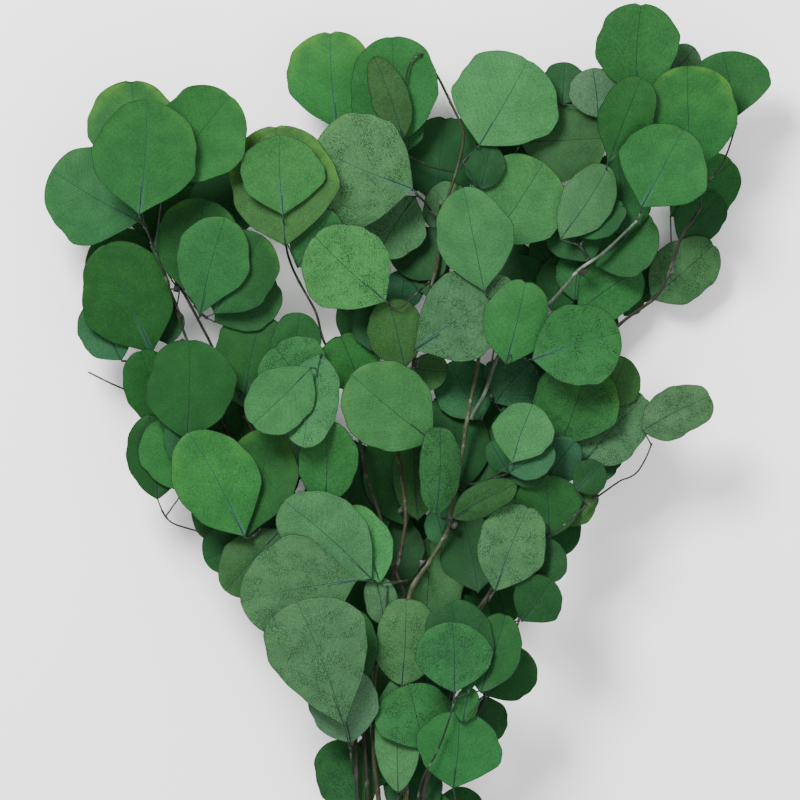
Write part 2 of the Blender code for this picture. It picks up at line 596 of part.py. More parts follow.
def lay_sprigs(axes):
    """Every sprig's twigs and leaves in three dimensions, laid in their order on both sides of the stems."""
    numbers = {stem[0]: number for number, stem in enumerate(stems)}
    laid = {}
    leaf_number = 0
    later = []
    for name, stem, side_word, twigs, leaves in sprigs:
        side = above if side_word == "above" else below
        first = smooth_route(twigs[0], cell)
        onward = first[min(8, len(first) - 1)]
        root, height = free_root(axes[stem], numbers[stem], first[0], onward, side)
        blend = np.clip(1 - np.arange(len(first)) / max(4.0, 0.6 * len(first)), 0, 1)[:, None]
        first = first + (root - first[0]) * blend
        routes = []
        bent = []
        leaf_rows = []
        for leaf in leaves:
            leaf_rows.append((leaf, leaf_number))
            leaf_number += 1
        early = [row for row in leaf_rows if "first" in row[0][5]]
        for leaf, number in early:
            laid.setdefault(name, {"twigs": [], "leaves": []})
            base, pitch = lay_leaf(leaf, number, side, 0.0)
            laid[name]["leaves"].append([leaf, number, side, base, pitch, None])
        for index, twig in enumerate(twigs):
            if index == 0:
                flat, start = first, side * height
            else:
                flat = smooth_route(twig, cell)
                anchor = nearest_on(routes, flat[0], 0.0)
                fade = np.clip(1 - np.arange(len(flat)) / 10.0, 0, 1)[:, None]
                flat = flat + (anchor[:2] - flat[0]) * fade
                start = side * anchor[2]
            heights = drape(flat, twig_radius, side, start)
            points, bends = straightened(np.column_stack([flat, side * heights]))
            mark_tube(points[:, :2], side * points[:, 2], twig_radius, side)
            routes.append(points)
            bent.append(points[bends])
        sprig = laid.setdefault(name, {"twigs": [], "leaves": []})
        sprig["twigs"] = bent
        for row in sprig["leaves"]:
            base_flat = to_metres([row[0][:2]])[0]
            row[5] = lay_petiole(nearest_on(routes, base_flat), base_flat, row[3], side)
        for leaf, number in leaf_rows:
            if "first" in leaf[5]:
                continue
            if side == above and "below" in leaf[5]:
                later.append((name, leaf, number))
                continue
            base_flat = to_metres([leaf[:2]])[0]
            start = nearest_on(routes, base_flat, side=side)
            base, pitch = lay_leaf(leaf, number, side, side * start[2])
            petiole = lay_petiole(start, base_flat, base, side)
            sprig["leaves"].append([leaf, number, side, base, pitch, petiole])
    for name, leaf, number in later:
        start = laid[name]["twigs"][0][0]
        base_flat = to_metres([leaf[:2]])[0]
        base, pitch = lay_leaf(leaf, number, below, back_leaf_height)
        petiole = lay_petiole(start, base_flat, base, below)
        laid[name]["leaves"].append([leaf, number, below, base, pitch, petiole])
    return laid


def turned(left, heading):
    """A sideways direction turned as little as it takes to stand square to a new heading."""
    left = left - heading * (left @ heading)
    return left / np.linalg.norm(left)


def leaf_sections(row):
    """The rings of a leaf with its stalk, and its tip, in metres."""
    leaf, number, side, base, pitch, petiole = row
    s = np.repeat(blade_rings[:, None], 3, axis=1)
    v = np.repeat([[1.0, 0.0, -1.0]], len(blade_rings), axis=0)
    flat, form, length = leaf_form(leaf, number, s, v)
    z = side * (base + pitch * length * s + form)
    tip_flat, tip_form, length = leaf_form(leaf, number, np.array([[1.0]]), np.array([[0.0]]))
    tip = np.append(tip_flat[0, 0], side * (base + pitch * length + tip_form[0, 0]))

    route = np.vstack([petiole, np.append(flat[0, 1], z[0, 1])])
    runs = np.diff(route, axis=0)
    runs /= np.linalg.norm(runs, axis=1)[:, None]
    left = turned(np.array([-runs[0, 1], runs[0, 0], 1e-6]), runs[0])
    rings = []
    for i, centre in enumerate(petiole):
        heading = runs[i] + runs[max(0, i - 1)]
        heading /= np.linalg.norm(heading)
        left = turned(left, heading)
        up = np.cross(heading, left)
        rings.append([centre + offset * petiole_radius for offset in (left, up, -left, -up)])
    along = (tip - petiole[-1]) / np.linalg.norm(tip - petiole[-1])
    left = turned(left, along)
    across = turned(np.append(flat[0, 0] - flat[0, 2], 0.0), along)
    quarter = round(math.atan2(across @ np.cross(along, left), across @ left) / (math.pi / 2))
    lift = np.array([0.0, 0.0, leaf_thickness / 2])
    for i in range(len(blade_rings)):
        edge_left, middle, edge_right = (np.append(flat[i, k], z[i, k]) for k in range(3))
        blade = [edge_left, middle + lift, edge_right, middle - lift]
        rings.append([blade[(k - quarter) % 4] for k in range(4)])
    return rings, tip


def rest_plane(points, centre):
    """The plane through the three low points that the branch rests on: its height and slopes in X and Y."""
    slopes = np.zeros(2)
    touching = []
    best = None
    for angle in np.linspace(0, 2 * math.pi, 72, endpoint=False):
        for steepness in (0.01, 0.03, 0.05, 0.07, 0.09, 0.12):
            slope = steepness * np.array([math.cos(angle), math.sin(angle)])
            touching.append(int(np.argmin(points[:, 2] - points[:, :2] @ slope)))
    low = points[sorted(set(touching + [int(np.argmin(points[:, 2]))]))]
    for i in range(len(low)):
        for j in range(i + 1, len(low)):
            for k in range(j + 1, len(low)):
                corners = np.column_stack([low[[i, j, k], :2], np.ones(3)])
                if abs(np.linalg.det(corners)) < 1e-5:
                    continue
                weights = np.linalg.solve(corners.T, np.append(centre, 1.0))
                if weights.min() < 0.05:
                    continue
                plane = np.linalg.solve(corners, low[[i, j, k], 2])
                under = (points[:, 2] - points[:, :2] @ plane[:2] - plane[2]).min()
                if best is None or under > best[0]:
                    best = (under, plane)
    return best[1][2], best[1][:2]


def flat_material(name, colour, roughness):
    """A plain Principled material."""
    material = bpy.data.materials.new(name)
    material.use_nodes = True
    shader = material.node_tree.nodes["Principled BSDF"]
    shader.inputs["Base Color"].default_value = (*colour, 1.0)
    shader.inputs["Roughness"].default_value = roughness
    shader.inputs["Metallic"].default_value = 0.0
    return material


def tube_mesh(name, points, radii, sides):
    """A closed round tube along points, from a curve with a bevel and filled caps."""
    curve = bpy.data.curves.new(name, "CURVE")
    curve.dimensions = "3D"
    curve.bevel_depth = 1.0
    curve.bevel_resolution = sides
    curve.use_fill_caps = True
    spline = curve.splines.new("POLY")
    spline.points.add(len(points) - 1)
    for point, place, radius in zip(spline.points, points, radii):
        point.co = (*place, 1.0)
        point.radius = radius
    guide = bpy.data.objects.new(name, curve)
    bpy.context.scene.collection.objects.link(guide)
    evaluated = guide.evaluated_get(bpy.context.evaluated_depsgraph_get())
    mesh = bpy.data.meshes.new_from_object(evaluated)
    bpy.data.objects.remove(guide)
    bpy.data.curves.remove(curve)
    welded = bmesh.new()
    welded.from_mesh(mesh)
    bmesh.ops.remove_doubles(welded, verts=welded.verts, dist=0.00001)
    if welded.calc_volume(signed=True) < 0:
        bmesh.ops.reverse_faces(welded, faces=welded.faces)
    welded.to_mesh(mesh)
    welded.free()
    return mesh


def leaf_mesh(name, row):
    """A loft from a round stalk to a thin blade."""
    rings, tip = leaf_sections(row)
    solid = bmesh.new()
    loops = [[solid.verts.new(Vector(point)) for point in ring] for ring in rings]
    point = solid.verts.new(Vector(tip))
    solid.faces.new(loops[0])
    for first, second in zip(loops, loops[1:]):
        for k in range(4):
            solid.faces.new((first[k], second[k], second[(k + 1) % 4], first[(k + 1) % 4]))
    for k in range(4):
        solid.faces.new((loops[-1][k], point, loops[-1][(k + 1) % 4]))
    bmesh.ops.triangulate(solid, faces=solid.faces)
    if solid.calc_volume(signed=True) < 0:
        bmesh.ops.reverse_faces(solid, faces=solid.faces)
    mesh = bpy.data.meshes.new(name)
    solid.to_mesh(mesh)
    solid.free()
    return mesh


def mesh_volume(mesh):
    """A mesh's volume, or nothing where it isn't closed."""
    solid = bmesh.new()
    solid.from_mesh(mesh)
    volume = solid.calc_volume(signed=True) if all(edge.is_manifold for edge in solid.edges) else 0.0
    solid.free()
    return volume


def union_of(base, other, solver, tidy):
    """The mesh of two objects joined, and where tidy is set, without the flat cuts that a union leaves."""
    union = base.modifiers.new("join", "BOOLEAN")
    union.operation = "UNION"
    union.solver = solver
    union.object = other
    evaluated = base.evaluated_get(bpy.context.evaluated_depsgraph_get())
    mesh = bpy.data.meshes.new_from_object(evaluated)
    base.modifiers.clear()
    joined = bmesh.new()
    joined.from_mesh(mesh)
    if tidy:
        bmesh.ops.remove_doubles(joined, verts=joined.verts, dist=0.000001)
        bmesh.ops.dissolve_limit(joined, angle_limit=0.001, verts=joined.verts, edges=joined.edges)
    bmesh.ops.triangulate(joined, faces=joined.faces)
    joined.to_mesh(mesh)
    joined.free()
    return mesh


def without_crumbs(mesh):
    """The mesh without the crumbs of a few faces that a union can leave at a corner of it."""
    solid = bmesh.new()
    solid.from_mesh(mesh)
    waiting = set(solid.faces)
    while waiting:
        first = waiting.pop()
        island = {first}
        reached = [first]
        while reached:
            face = reached.pop()
            for edge in face.edges:
                for other in edge.link_faces:
                    if other in waiting:
                        waiting.discard(other)
                        island.add(other)
                        reached.append(other)
        if len(island) < crumb_faces:
            bmesh.ops.delete(solid, geom=list(island), context="FACES")
    solid.to_mesh(mesh)
    solid.free()
    return mesh


def join_solids(name, meshes, collection, material):
    """One object from solids that meet, by Boolean unions."""
    base = bpy.data.objects.new(name, meshes[0])
    collection.objects.link(base)
    for number, mesh in enumerate(meshes[1:]):
        other = bpy.data.objects.new(f"{name}_part_{number}", mesh)
        bpy.context.scene.collection.objects.link(other)
        least = max(mesh_volume(base.data), mesh_volume(mesh))
        for solver, tidy in (("EXACT", True), ("MANIFOLD", True), ("MANIFOLD", False)):
            joined = union_of(base, other, solver, tidy)
            if mesh_volume(joined) > least:
                break
        base.data = without_crumbs(joined)
        bpy.data.objects.remove(other)
    base.data.name = name
    base.data.materials.clear()
    base.data.materials.append(material)
    return base


def settle(points, height, slopes):
    """Points after the branch has come to rest on its low points."""
    moved = points.copy()
    moved[:, 2] -= height + points[:, :2] @ slopes
    return moved


def build():
    """Make every piece of the branch."""
    for old in list(bpy.data.objects):
        bpy.data.objects.remove(old)
    collection = bpy.data.collections.new("eucalyptus branch")
    bpy.context.scene.collection.children.link(collection)
    axes = lay_stems()
    laid = lay_sprigs(axes)

    tubes = {name: (points[bends], radii[bends]) for name, (points, radii, bends) in axes.items()}
    outline = [points - np.array([0, 0, 1]) * radii[:, None] for points, radii in tubes.values()]
    leaves = []
    for sprig in laid.values():
        outline += [route - np.array([0, 0, twig_radius]) for route in sprig["twigs"]]
        for row in sprig["leaves"]:
            rings, tip = leaf_sections(row)
            leaves.append(np.vstack([point for ring in rings for point in ring] + [tip]))
    everything = np.vstack(outline + leaves)
    centre = np.vstack(leaves)[:, :2].mean(axis=0)
    height, slopes = rest_plane(everything, centre)
    shift = (everything[:, :2].min(axis=0) + everything[:, :2].max(axis=0)) / 2

    bark = flat_material("bark", bark_colour, 0.7)
    for name, (points, radii) in tubes.items():
        mesh = tube_mesh(name, settle(points, height, slopes), radii, 2 if name == "main_stem" else 1)
        mesh.materials.append(bark)
        collection.objects.link(bpy.data.objects.new(name, mesh))
    greens = {name: flat_material(f"{name} leaf", colour, 0.45) for name, colour in leaf_colours.items()}
    for name, sprig in laid.items():
        meshes = []
        for route in sprig["twigs"]:
            points = settle(route, height, slopes)
            radii = np.linspace(twig_radius, 0.8 * twig_radius, len(points))
            meshes.append(tube_mesh(name, points, radii, 0))
        for row in sprig["leaves"]:
            mesh = leaf_mesh(name, row)
            for vertex in mesh.vertices:
                vertex.co.z -= height + vertex.co.x * slopes[0] + vertex.co.y * slopes[1]
            meshes.append(mesh)
        look = sprig["leaves"][-1][0][5].split()[1]
        join_solids(name, meshes, collection, greens[look])
    for piece in collection.objects:
        for vertex in piece.data.vertices:
            vertex.co.x -= shift[0]
            vertex.co.y -= shift[1]


build()
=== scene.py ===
import itertools
import math

import bpy
import bmesh
import numpy as np
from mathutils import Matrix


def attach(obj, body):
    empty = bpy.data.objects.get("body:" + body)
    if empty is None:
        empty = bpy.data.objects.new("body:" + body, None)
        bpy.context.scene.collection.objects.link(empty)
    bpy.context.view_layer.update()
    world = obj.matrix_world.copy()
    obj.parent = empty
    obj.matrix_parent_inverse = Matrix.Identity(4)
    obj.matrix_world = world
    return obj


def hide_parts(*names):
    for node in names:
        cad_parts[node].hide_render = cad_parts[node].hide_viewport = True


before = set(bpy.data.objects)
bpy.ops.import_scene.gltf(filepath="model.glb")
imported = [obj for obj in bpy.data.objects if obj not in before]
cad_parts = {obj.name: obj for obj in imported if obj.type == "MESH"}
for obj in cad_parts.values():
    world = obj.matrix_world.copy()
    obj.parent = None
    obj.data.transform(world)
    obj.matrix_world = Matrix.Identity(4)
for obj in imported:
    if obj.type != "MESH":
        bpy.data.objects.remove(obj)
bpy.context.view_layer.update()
print("frame loaded")

# Driving dimensions, in metres
photoWidth = 0.52           # what the photograph's 800 pixels cover on the real branch
photoPixels = 800
pixel = photoWidth / photoPixels
leafThickness = 0.0008      # of the solids' leaves, which settle how the branch lies
petioleRadius = 0.0006
twigRadius = 0.0008
seatGap = 0.00035           # between a twig's end and the stem that carries it
layerGap = 0.0010           # between one leaf and the next that lies on it
halfSlab = 0.0013           # the stems' own layer, above and below their axes
bendTolerance = 0.0003      # how far a tube's straight runs leave its smooth route
rootShare = 0.75            # how much of a tube's radius lies between its end's middle and its stem
rootBlend = 0.6             # how much of a twig bends to reach its root
steepestLeaf = math.tan(math.radians(17))
leafPitch = (0.02, 0.07)    # a leaf's own slope from base to tip, and how far that varies
leafSway = {"roll": 0.13, "cup": 0.10, "droop": 0.05, "twist": 0.16}
baseReach = 0.006           # how much of a leaf, from its base, sets how high its base lies
leastStalk = 0.0025         # between a twig and the base of a leaf on it
rootCover = 0.0006          # how far a pile may stand over a stem where a twig leaves it
slabEdge = 0.003            # tubes under this height shut out roots from the stems' layer beside them
coveredCost = 0.015         # how much further a stalk reaches for a bare place on its twig
backLeafHeight = 0.002      # where a leaf behind a front sprig starts, outwards from the stems' axes

# Counts of points along a route
rootSearch = 110            # how far along its stem a twig's root may move to find a free place
climbReach = 5              # how far before something in its way a tube has climbed over it
softenReach = 3             # how far a twig's or stalk's heights are averaged, each way
easeOut = 8.0               # how far a stem takes to leave the plane that it starts in
rootPoints = 4              # a twig's first points, which ignore the stem that it leaves and bend to reach it
forkPoints = 6              # the same at a stem's own fork
onwardPoint = 8             # the point that tells on which side of its stem a twig leaves
forkBlend = 10.0            # how far a twig takes to reach its own route from the twig that it forks from

# The height map that the leaves are laid on
cell = 0.0015
mapLeft = -0.27
mapBottom = -0.16
mapColumns = 360
mapRows = 480

# Stems: name, the stem it grows from, its radius at its base and tip in millimetres, and its route in photo
# pixels
stems = [
    ("main_stem", None, 3.4, 2.6, [(396, 1010), (394, 960), (397, 905), (400, 868)]),
    ("centre_right_stem", "main_stem", 1.8, 0.9, [
        (400, 868), (404, 830), (406, 790), (404, 740), (403, 690), (405, 640), (410, 592), (430, 560),
        (447, 532), (450, 515), (455, 490), (462, 455), (466, 425), (476, 375), (481, 340), (488, 290),
        (500, 240), (520, 190), (545, 150), (575, 122), (600, 108)]),
    ("centre_stem", "main_stem", 1.7, 0.8, [
        (397, 890), (386, 850), (380, 810), (374, 760), (373, 710), (376, 660), (388, 600), (402, 545),
        (406, 510), (398, 447), (405, 405), (413, 370), (417, 330), (427, 300), (437, 268), (439, 245),
        (447, 200), (457, 170), (464, 135), (455, 112), (440, 80), (425, 55)]),
    ("right_outer_stem", "main_stem", 1.7, 0.9, [
        (399, 885), (413, 845), (421, 805), (430, 765), (442, 725), (453, 690), (462, 650), (470, 620),
        (486, 598), (510, 555), (535, 500), (560, 440), (585, 385), (614, 330), (656, 297), (670, 270),
        (680, 240), (700, 208)]),
    ("left_inner_stem", "main_stem", 1.6, 0.8, [
        (396, 910), (378, 868), (370, 818), (366, 765), (364, 715), (360, 665), (345, 610), (318, 560),
        (262, 450), (232, 390), (213, 348), (197, 318), (185, 295), (165, 265)]),
    ("left_outer_stem", "main_stem", 1.6, 0.8, [
        (394, 948), (366, 886), (359, 825), (357, 770), (354, 715), (345, 660), (325, 610), (300, 560),
        (262, 490), (225, 425), (203, 375), (186, 338), (172, 300), (163, 270), (150, 235)]),
    ("right_inner_stem", "centre_right_stem", 1.3, 0.9, [
        (468, 420), (484, 395), (497, 358), (520, 332), (548, 305), (568, 283), (576, 272), (590, 262),
        (605, 252), (637, 221)]),
    ("centre_left_stem", "centre_right_stem", 1.2, 0.7, [
        (409, 600), (396, 572), (380, 515), (366, 475), (358, 430), (343, 378), (323, 340), (316, 312),
        (297, 278), (288, 256), (285, 238)]),
    ("low_right_stem", "right_outer_stem", 1.2, 0.8, [
        (431, 770), (452, 738), (478, 712), (490, 680), (505, 650), (513, 635), (518, 622)]),
]

# Sprigs, in the order in which they lie, from the stems outwards. Each has its name, its stem, its twigs'
# routes, and its leaves: base, tip and width in photo pixels, then its shape and its look. The first point of
# the first twig is where it leaves the stem. A sprig whose name begins with "back" lies behind the stems, and
# so does a leaf with the word "below". A leaf with the word "first" lies under its own twig.
# A look of deep or dark is partly painted shade, for a leaf that lies under others.
sprigs = [
    ("left_under_spray", "left_inner_stem", [[(222, 368), (240, 398)]], [
        (250, 410, 248, 345, 55, "oval grey"), (245, 395, 262, 315, 78, "round deep"),
        (250, 470, 300, 470, 70, "round dark below"), (215, 455, 160, 425, 66, "round deep below")]),
    ("left_edge_spray", "left_outer_stem", [[(186, 338), (165, 352), (140, 361), (121, 361)]], [
        (121, 360, 93, 300, 56, "oval teal"), (153, 354, 107, 244, 94, "spade deep bluerib")]),
    ("left_bare_twig_spray", "left_outer_stem", [
        [(222, 420), (192, 424), (168, 432)],
        [(178, 429), (160, 408), (135, 394), (110, 383), (88, 372)]], [
        (167, 428, 140, 350, 58, "oval deep")]),
    ("left_inner_fan", "left_inner_stem", [[(192, 307), (208, 319)]], [
        (184, 290, 206, 200, 86, "round deep"), (215, 322, 279, 285, 62, "round dark"),
        (215, 314, 262, 236, 76, "round dark"), (200, 318, 226, 219, 74, "obovate mid")]),
    ("left_low_twig", "left_outer_stem", [
        [(300, 560), (262, 560), (232, 549), (205, 533), (172, 523), (162, 510)]], [
        (158, 499, 150, 415, 58, "oval deep"), (185, 490, 160, 418, 62, "oval mid")]),
    ("left_middle_leaf", "left_outer_stem", [[(228, 430), (206, 440), (192, 442)]], [
        (185, 470, 180, 413, 36, "oval teal"), (188, 440, 190, 340, 90, "round deep")]),
    ("left_low_under", "left_outer_stem", [[(290, 543), (268, 540), (250, 544)]], [
        (247, 541, 205, 560, 50, "oval dark"), (248, 545, 285, 515, 34, "oval dark"),
        (282, 528, 226, 590, 58, "round olive")]),
    ("left_low_pair", "left_outer_stem", [[(276, 515), (262, 530), (249, 538)]], [
        (248, 539, 272, 430, 72, "obovate deep"), (246, 537, 190, 432, 84, "spade mid bluerib")]),
    ("middle_left_leaf", "left_inner_stem", [[(318, 560), (327, 532), (326, 514)]], [
        (326, 508, 327, 420, 60, "round mid")]),
    ("centre_left_cluster", "centre_left_stem", [
        [(326, 345), (318, 368), (318, 396)], [(318, 368), (345, 384), (360, 392)]], [
        (290, 372, 300, 313, 50, "round dark"), (362, 392, 340, 335, 62, "round mid"),
        (318, 400, 275, 345, 78, "round light speckled"), (322, 354, 304, 447, 60, "oval light speckled"),
        (312, 368, 253, 425, 64, "round light")]),
    ("centre_top_left", "centre_stem", [
        [(457, 172), (430, 166), (400, 152), (360, 138), (341, 130)]], [
        (408, 150, 412, 108, 30, "oval mid"), (337, 128, 330, 31, 92, "round mid yellow bluerib")]),
    ("centre_tip", "centre_stem", [[(425, 55), (412, 61), (405, 85), (402, 138)]], [
        (400, 145, 392, 37, 90, "round mid first"), (403, 140, 374, 58, 38, "oval olive folded")]),
    ("centre_grey_pair", "centre_stem", [[(438, 224), (426, 203), (415, 193)]], [
        (415, 196, 378, 255, 62, "round grey speckled"),
        (413, 190, 314, 150, 116, "round grey speckled bluerib")]),
    ("centre_left_top", "centre_left_stem", [[(285, 238), (284, 223)]], [
        (298, 268, 332, 212, 56, "round mid"), (286, 247, 276, 127, 108, "round olive yellow"),
        (284, 217, 281, 138, 84, "spade light bluerib")]),
    ("left_top_spray", "left_outer_stem", [[(150, 235), (144, 223)]], [
        (140, 222, 52, 170, 98, "round mid"), (135, 180, 132, 81, 92, "round mid yellow"),
        (165, 182, 232, 98, 92, "round mid"), (141, 217, 150, 103, 107, "spade mid bluerib")]),
    ("crown_low_pair", "centre_right_stem", [
        [(512, 210), (500, 228), (492, 241)], [(506, 218), (508, 180), (519, 145)]], [
        (520, 142, 605, 138, 85, "round olive"), (490, 243, 543, 163, 100, "round light")]),
    ("crown_top_spray", "centre_right_stem", [[(601, 108), (620, 103), (635, 98)]], [
        (562, 105, 565, 62, 45, "oval deep"), (598, 118, 592, 69, 56, "oval palegrey"),
        (660, 85, 695, 48, 45, "oval grey"), (636, 96, 640, 5, 84, "round mid")]),
    ("centre_top_right", "centre_stem", [[(458, 170), (464, 160), (477, 148)]], [
        (480, 190, 490, 145, 40, "oval dark"), (479, 146, 528, 60, 110, "round light")]),
    ("right_top_pair", "right_outer_stem", [
        [(700, 208), (699, 190), (693, 174)], [(699, 190), (722, 165), (737, 122)]], [
        (735, 118, 722, 52, 80, "round mid"), (692, 172, 686, 67, 98, "round mid yellow")]),
    ("right_inner_spray", "right_inner_stem", [
        [(590, 262), (580, 246), (567, 241)], [(580, 246), (597, 212), (606, 168)]], [
        (575, 235, 625, 205, 35, "oval dark"), (560, 240, 608, 167, 52, "round grey"),
        (606, 166, 640, 79, 56, "obovate mid folded")]),
    ("right_inner_top", "right_inner_stem", [[(637, 221), (641, 211)]], [
        (640, 209, 682, 130, 92, "spade mid bluerib")]),
    ("centre_mid_spray", "centre_stem", [[(413, 368), (418, 358)]], [
        (370, 350, 372, 300, 40, "oval dark"), (405, 368, 388, 300, 58, "round olive"),
        (413, 351, 515, 286, 86, "spade grey speckled bluerib")]),
    ("centre_left_round", "centre_stem", [[(418, 322), (402, 312), (388, 304)]], [
        (386, 302, 315, 237, 88, "round light speckled")]),
    ("right_mid_cluster", "right_outer_stem", [[(560, 440), (572, 452)]], [
        (580, 465, 645, 397, 66, "round grey speckled"), (600, 410, 625, 358, 50, "round olive"),
        (560, 447, 590, 362, 88, "spade mid yellow speckled"),
        (575, 440, 618, 470, 50, "round dark below")]),
    ("centre_right_fan", "right_inner_stem", [
        [(498, 358), (497, 328), (486, 296)], [(499, 345), (516, 356), (529, 360)]], [
        (505, 365, 525, 281, 65, "round mid"), (484, 293, 463, 189, 76, "spade light"),
        (531, 360, 618, 333, 84, "round mid speckled bluerib")]),
    ("right_low_cluster", "right_outer_stem", [[(532, 508), (545, 520), (549, 534)]], [
        (542, 485, 575, 440, 45, "oval teal"), (560, 525, 590, 483, 40, "oval olive"),
        (549, 538, 545, 475, 70, "round deep"), (540, 516, 572, 550, 50, "round dark below")]),
    ("right_far_leaf", "right_outer_stem", [
        [(545, 476), (560, 492), (575, 492), (598, 484), (632, 476), (645, 458), (651, 443)]], [
        (575, 490, 600, 463, 36, "oval dark"), (642, 430, 709, 396, 50, "blunt grey speckled")]),
    ("low_right_tip", "low_right_stem", [[(518, 622), (519, 610)]], [
        (520, 580, 560, 545, 50, "round dark"), (521, 620, 550, 578, 52, "round dark"),
        (510, 628, 492, 570, 58, "round dark below")]),
    ("right_speckled_leaf", "right_outer_stem", [[(486, 600), (493, 592)]], [
        (494, 590, 528, 505, 68, "round grey speckled")]),
    ("centre_round_leaf", "centre_right_stem", [[(461, 460), (448, 449), (436, 443)]], [
        (432, 441, 352, 375, 88, "round light")]),
    ("centre_right_mid", "centre_right_stem", [[(456, 486), (485, 482), (508, 473)]], [
        (508, 472, 490, 440, 25, "oval dark"), (510, 478, 545, 470, 25, "oval dark"),
        (508, 472, 552, 445, 40, "oval teal"), (511, 463, 532, 404, 62, "spade light")]),
    ("centre_rolled_pair", "centre_right_stem", [[(450, 517), (442, 519)]], [
        (436, 514, 440, 427, 42, "blunt light speckled rolled"),
        (452, 517, 515, 483, 34, "oval olive folded")]),
    ("low_left_fan", "centre_right_stem", [[(410, 592), (394, 585), (374, 580)]], [
        (385, 625, 375, 575, 34, "oval grey"), (380, 582, 352, 505, 50, "oval light"),
        (372, 578, 285, 500, 78, "round grey"), (358, 579, 242, 600, 100, "spade grey speckled bluerib")]),
    ("low_centre_spray", "centre_right_stem", [
        [(404, 822), (398, 798)], [(398, 798), (394, 750), (398, 700), (400, 686)],
        [(398, 798), (410, 775), (422, 752)]], [
        (398, 790, 402, 676, 46, "blunt grey"), (402, 684, 406, 598, 60, "blunt grey speckled"),
        (423, 748, 408, 683, 80, "round mid speckled")]),
    ("low_right_leaf", "right_outer_stem", [[(424, 796), (440, 805), (458, 802)]], [
        (453, 786, 459, 709, 84, "round mid")]),
    ("low_right_mid", "low_right_stem", [[(488, 688), (484, 694)]], [
        (462, 720, 470, 685, 26, "oval mid"), (487, 695, 528, 652, 55, "round deep"),
        (480, 690, 505, 612, 52, "oval deep"), (484, 694, 488, 742, 44, "round dark below"),
        (452, 704, 416, 664, 60, "round dark below")]),
    ("low_right_bright", "right_outer_stem", [
        [(419, 815), (424, 777), (437, 750), (449, 716), (455, 694)]], [
        (468, 690, 450, 598, 70, "round dark"), (454, 690, 452, 620, 76, "round mid speckled")]),
    ("low_left_pair", "left_outer_stem", [[(357, 772), (351, 752), (354, 737)]], [
        (365, 680, 358, 610, 34, "oval dark"), (351, 741, 338, 664, 70, "oval palegrey"),
        (345, 724, 298, 600, 102, "wedge grey speckled")]),
    ("back_left_dark", "left_inner_stem", [[(178, 284), (174, 282)]], [
        (205, 244, 240, 166, 72, "round dark"), (177, 283, 215, 200, 75, "round dark"),
        (160, 262, 200, 188, 62, "round dark"), (170, 345, 160, 300, 40, "round dark"),
        (150, 290, 96, 236, 72, "round deep"), (165, 250, 165, 160, 80, "round deep")]),
    ("back_left_low", "left_inner_stem", [[(266, 456), (272, 464)]], [
        (236, 478, 207, 540, 60, "round deep"), (250, 470, 235, 395, 64, "round dark"),
        (292, 484, 298, 410, 62, "round dark"), (300, 500, 350, 500, 60, "round deep")]),
    ("back_centre_top", "centre_stem", [[(446, 205), (440, 203)]], [
        (436, 228, 402, 274, 62, "round dark"), (440, 235, 452, 181, 48, "oval grey"),
        (437, 205, 446, 116, 80, "round dark"), (460, 180, 520, 110, 80, "round deep"),
        (425, 190, 370, 110, 76, "round deep")]),
    ("back_centre", "centre_stem", [[(420, 320), (428, 324)]], [
        (437, 300, 420, 240, 40, "oval dark"), (400, 312, 405, 270, 40, "oval teal"),
        (412, 368, 448, 372, 38, "oval olive"), (405, 330, 340, 300, 76, "round deep"),
        (435, 330, 495, 312, 70, "round deep")]),
    ("back_right_centre", "right_inner_stem", [[(486, 390), (492, 398)]], [
        (495, 403, 530, 362, 62, "round teal speckled"), (482, 420, 450, 362, 62, "round teal"),
        (500, 410, 560, 430, 72, "round deep")]),
    ("back_centre_low", "centre_right_stem", [[(449, 524), (456, 528)]], [
        (462, 492, 448, 392, 68, "round dark"), (478, 496, 506, 402, 66, "round dark"),
        (478, 592, 462, 515, 62, "round dark"), (455, 532, 470, 466, 50, "round dark"),
        (445, 545, 435, 510, 34, "oval teal"), (450, 528, 490, 578, 45, "oval olive"),
        (452, 538, 465, 567, 30, "oval teal"), (470, 510, 525, 500, 66, "round deep")]),
    ("back_middle", "centre_stem", [[(406, 507), (400, 512)]], [
        (418, 520, 414, 440, 46, "oval olive"), (405, 525, 375, 440, 52, "oval deep"),
        (390, 505, 322, 455, 76, "round dark"), (390, 520, 318, 545, 72, "round deep")]),
    ("back_node", "centre_right_stem", [[(426, 566), (420, 560)]], [
        (402, 592, 390, 514, 58, "round dark"), (425, 625, 430, 540, 78, "round grey"),
        (415, 550, 415, 508, 30, "oval dark"), (410, 605, 345, 636, 86, "round deep"),
        (440, 600, 488, 645, 60, "round deep"), (440, 606, 484, 572, 52, "round dark")]),
    ("back_right_inner", "right_inner_stem", [[(582, 268), (584, 274)]], [
        (625, 238, 618, 152, 68, "round dark"), (592, 262, 562, 204, 60, "round dark"),
        (588, 262, 655, 222, 70, "round deep"), (578, 312, 640, 268, 62, "round mid"),
        (575, 300, 582, 250, 45, "oval mid"), (552, 310, 572, 253, 48, "oval dark"),
        (570, 290, 600, 352, 70, "round deep")]),
    ("back_right_dark", "right_inner_stem", [[(536, 318), (534, 308)]], [
        (530, 300, 520, 255, 45, "oval dark"), (552, 270, 535, 238, 30, "oval dark"),
        (520, 300, 480, 240, 70, "round dark"), (545, 330, 560, 400, 72, "round dark")]),
    ("back_right_edge", "right_outer_stem", [[(668, 274), (674, 262)]], [
        (652, 298, 716, 243, 62, "oval grey speckled"), (680, 240, 722, 195, 48, "oval dark"),
        (672, 215, 735, 160, 68, "round mid"), (625, 315, 642, 292, 22, "oval dark"),
        (655, 300, 612, 250, 66, "round deep")]),
    ("back_low_left", "left_outer_stem", [[(360, 820), (366, 812)]], [
        (368, 812, 328, 742, 60, "round dark speckled"), (372, 790, 376, 735, 50, "round deep"),
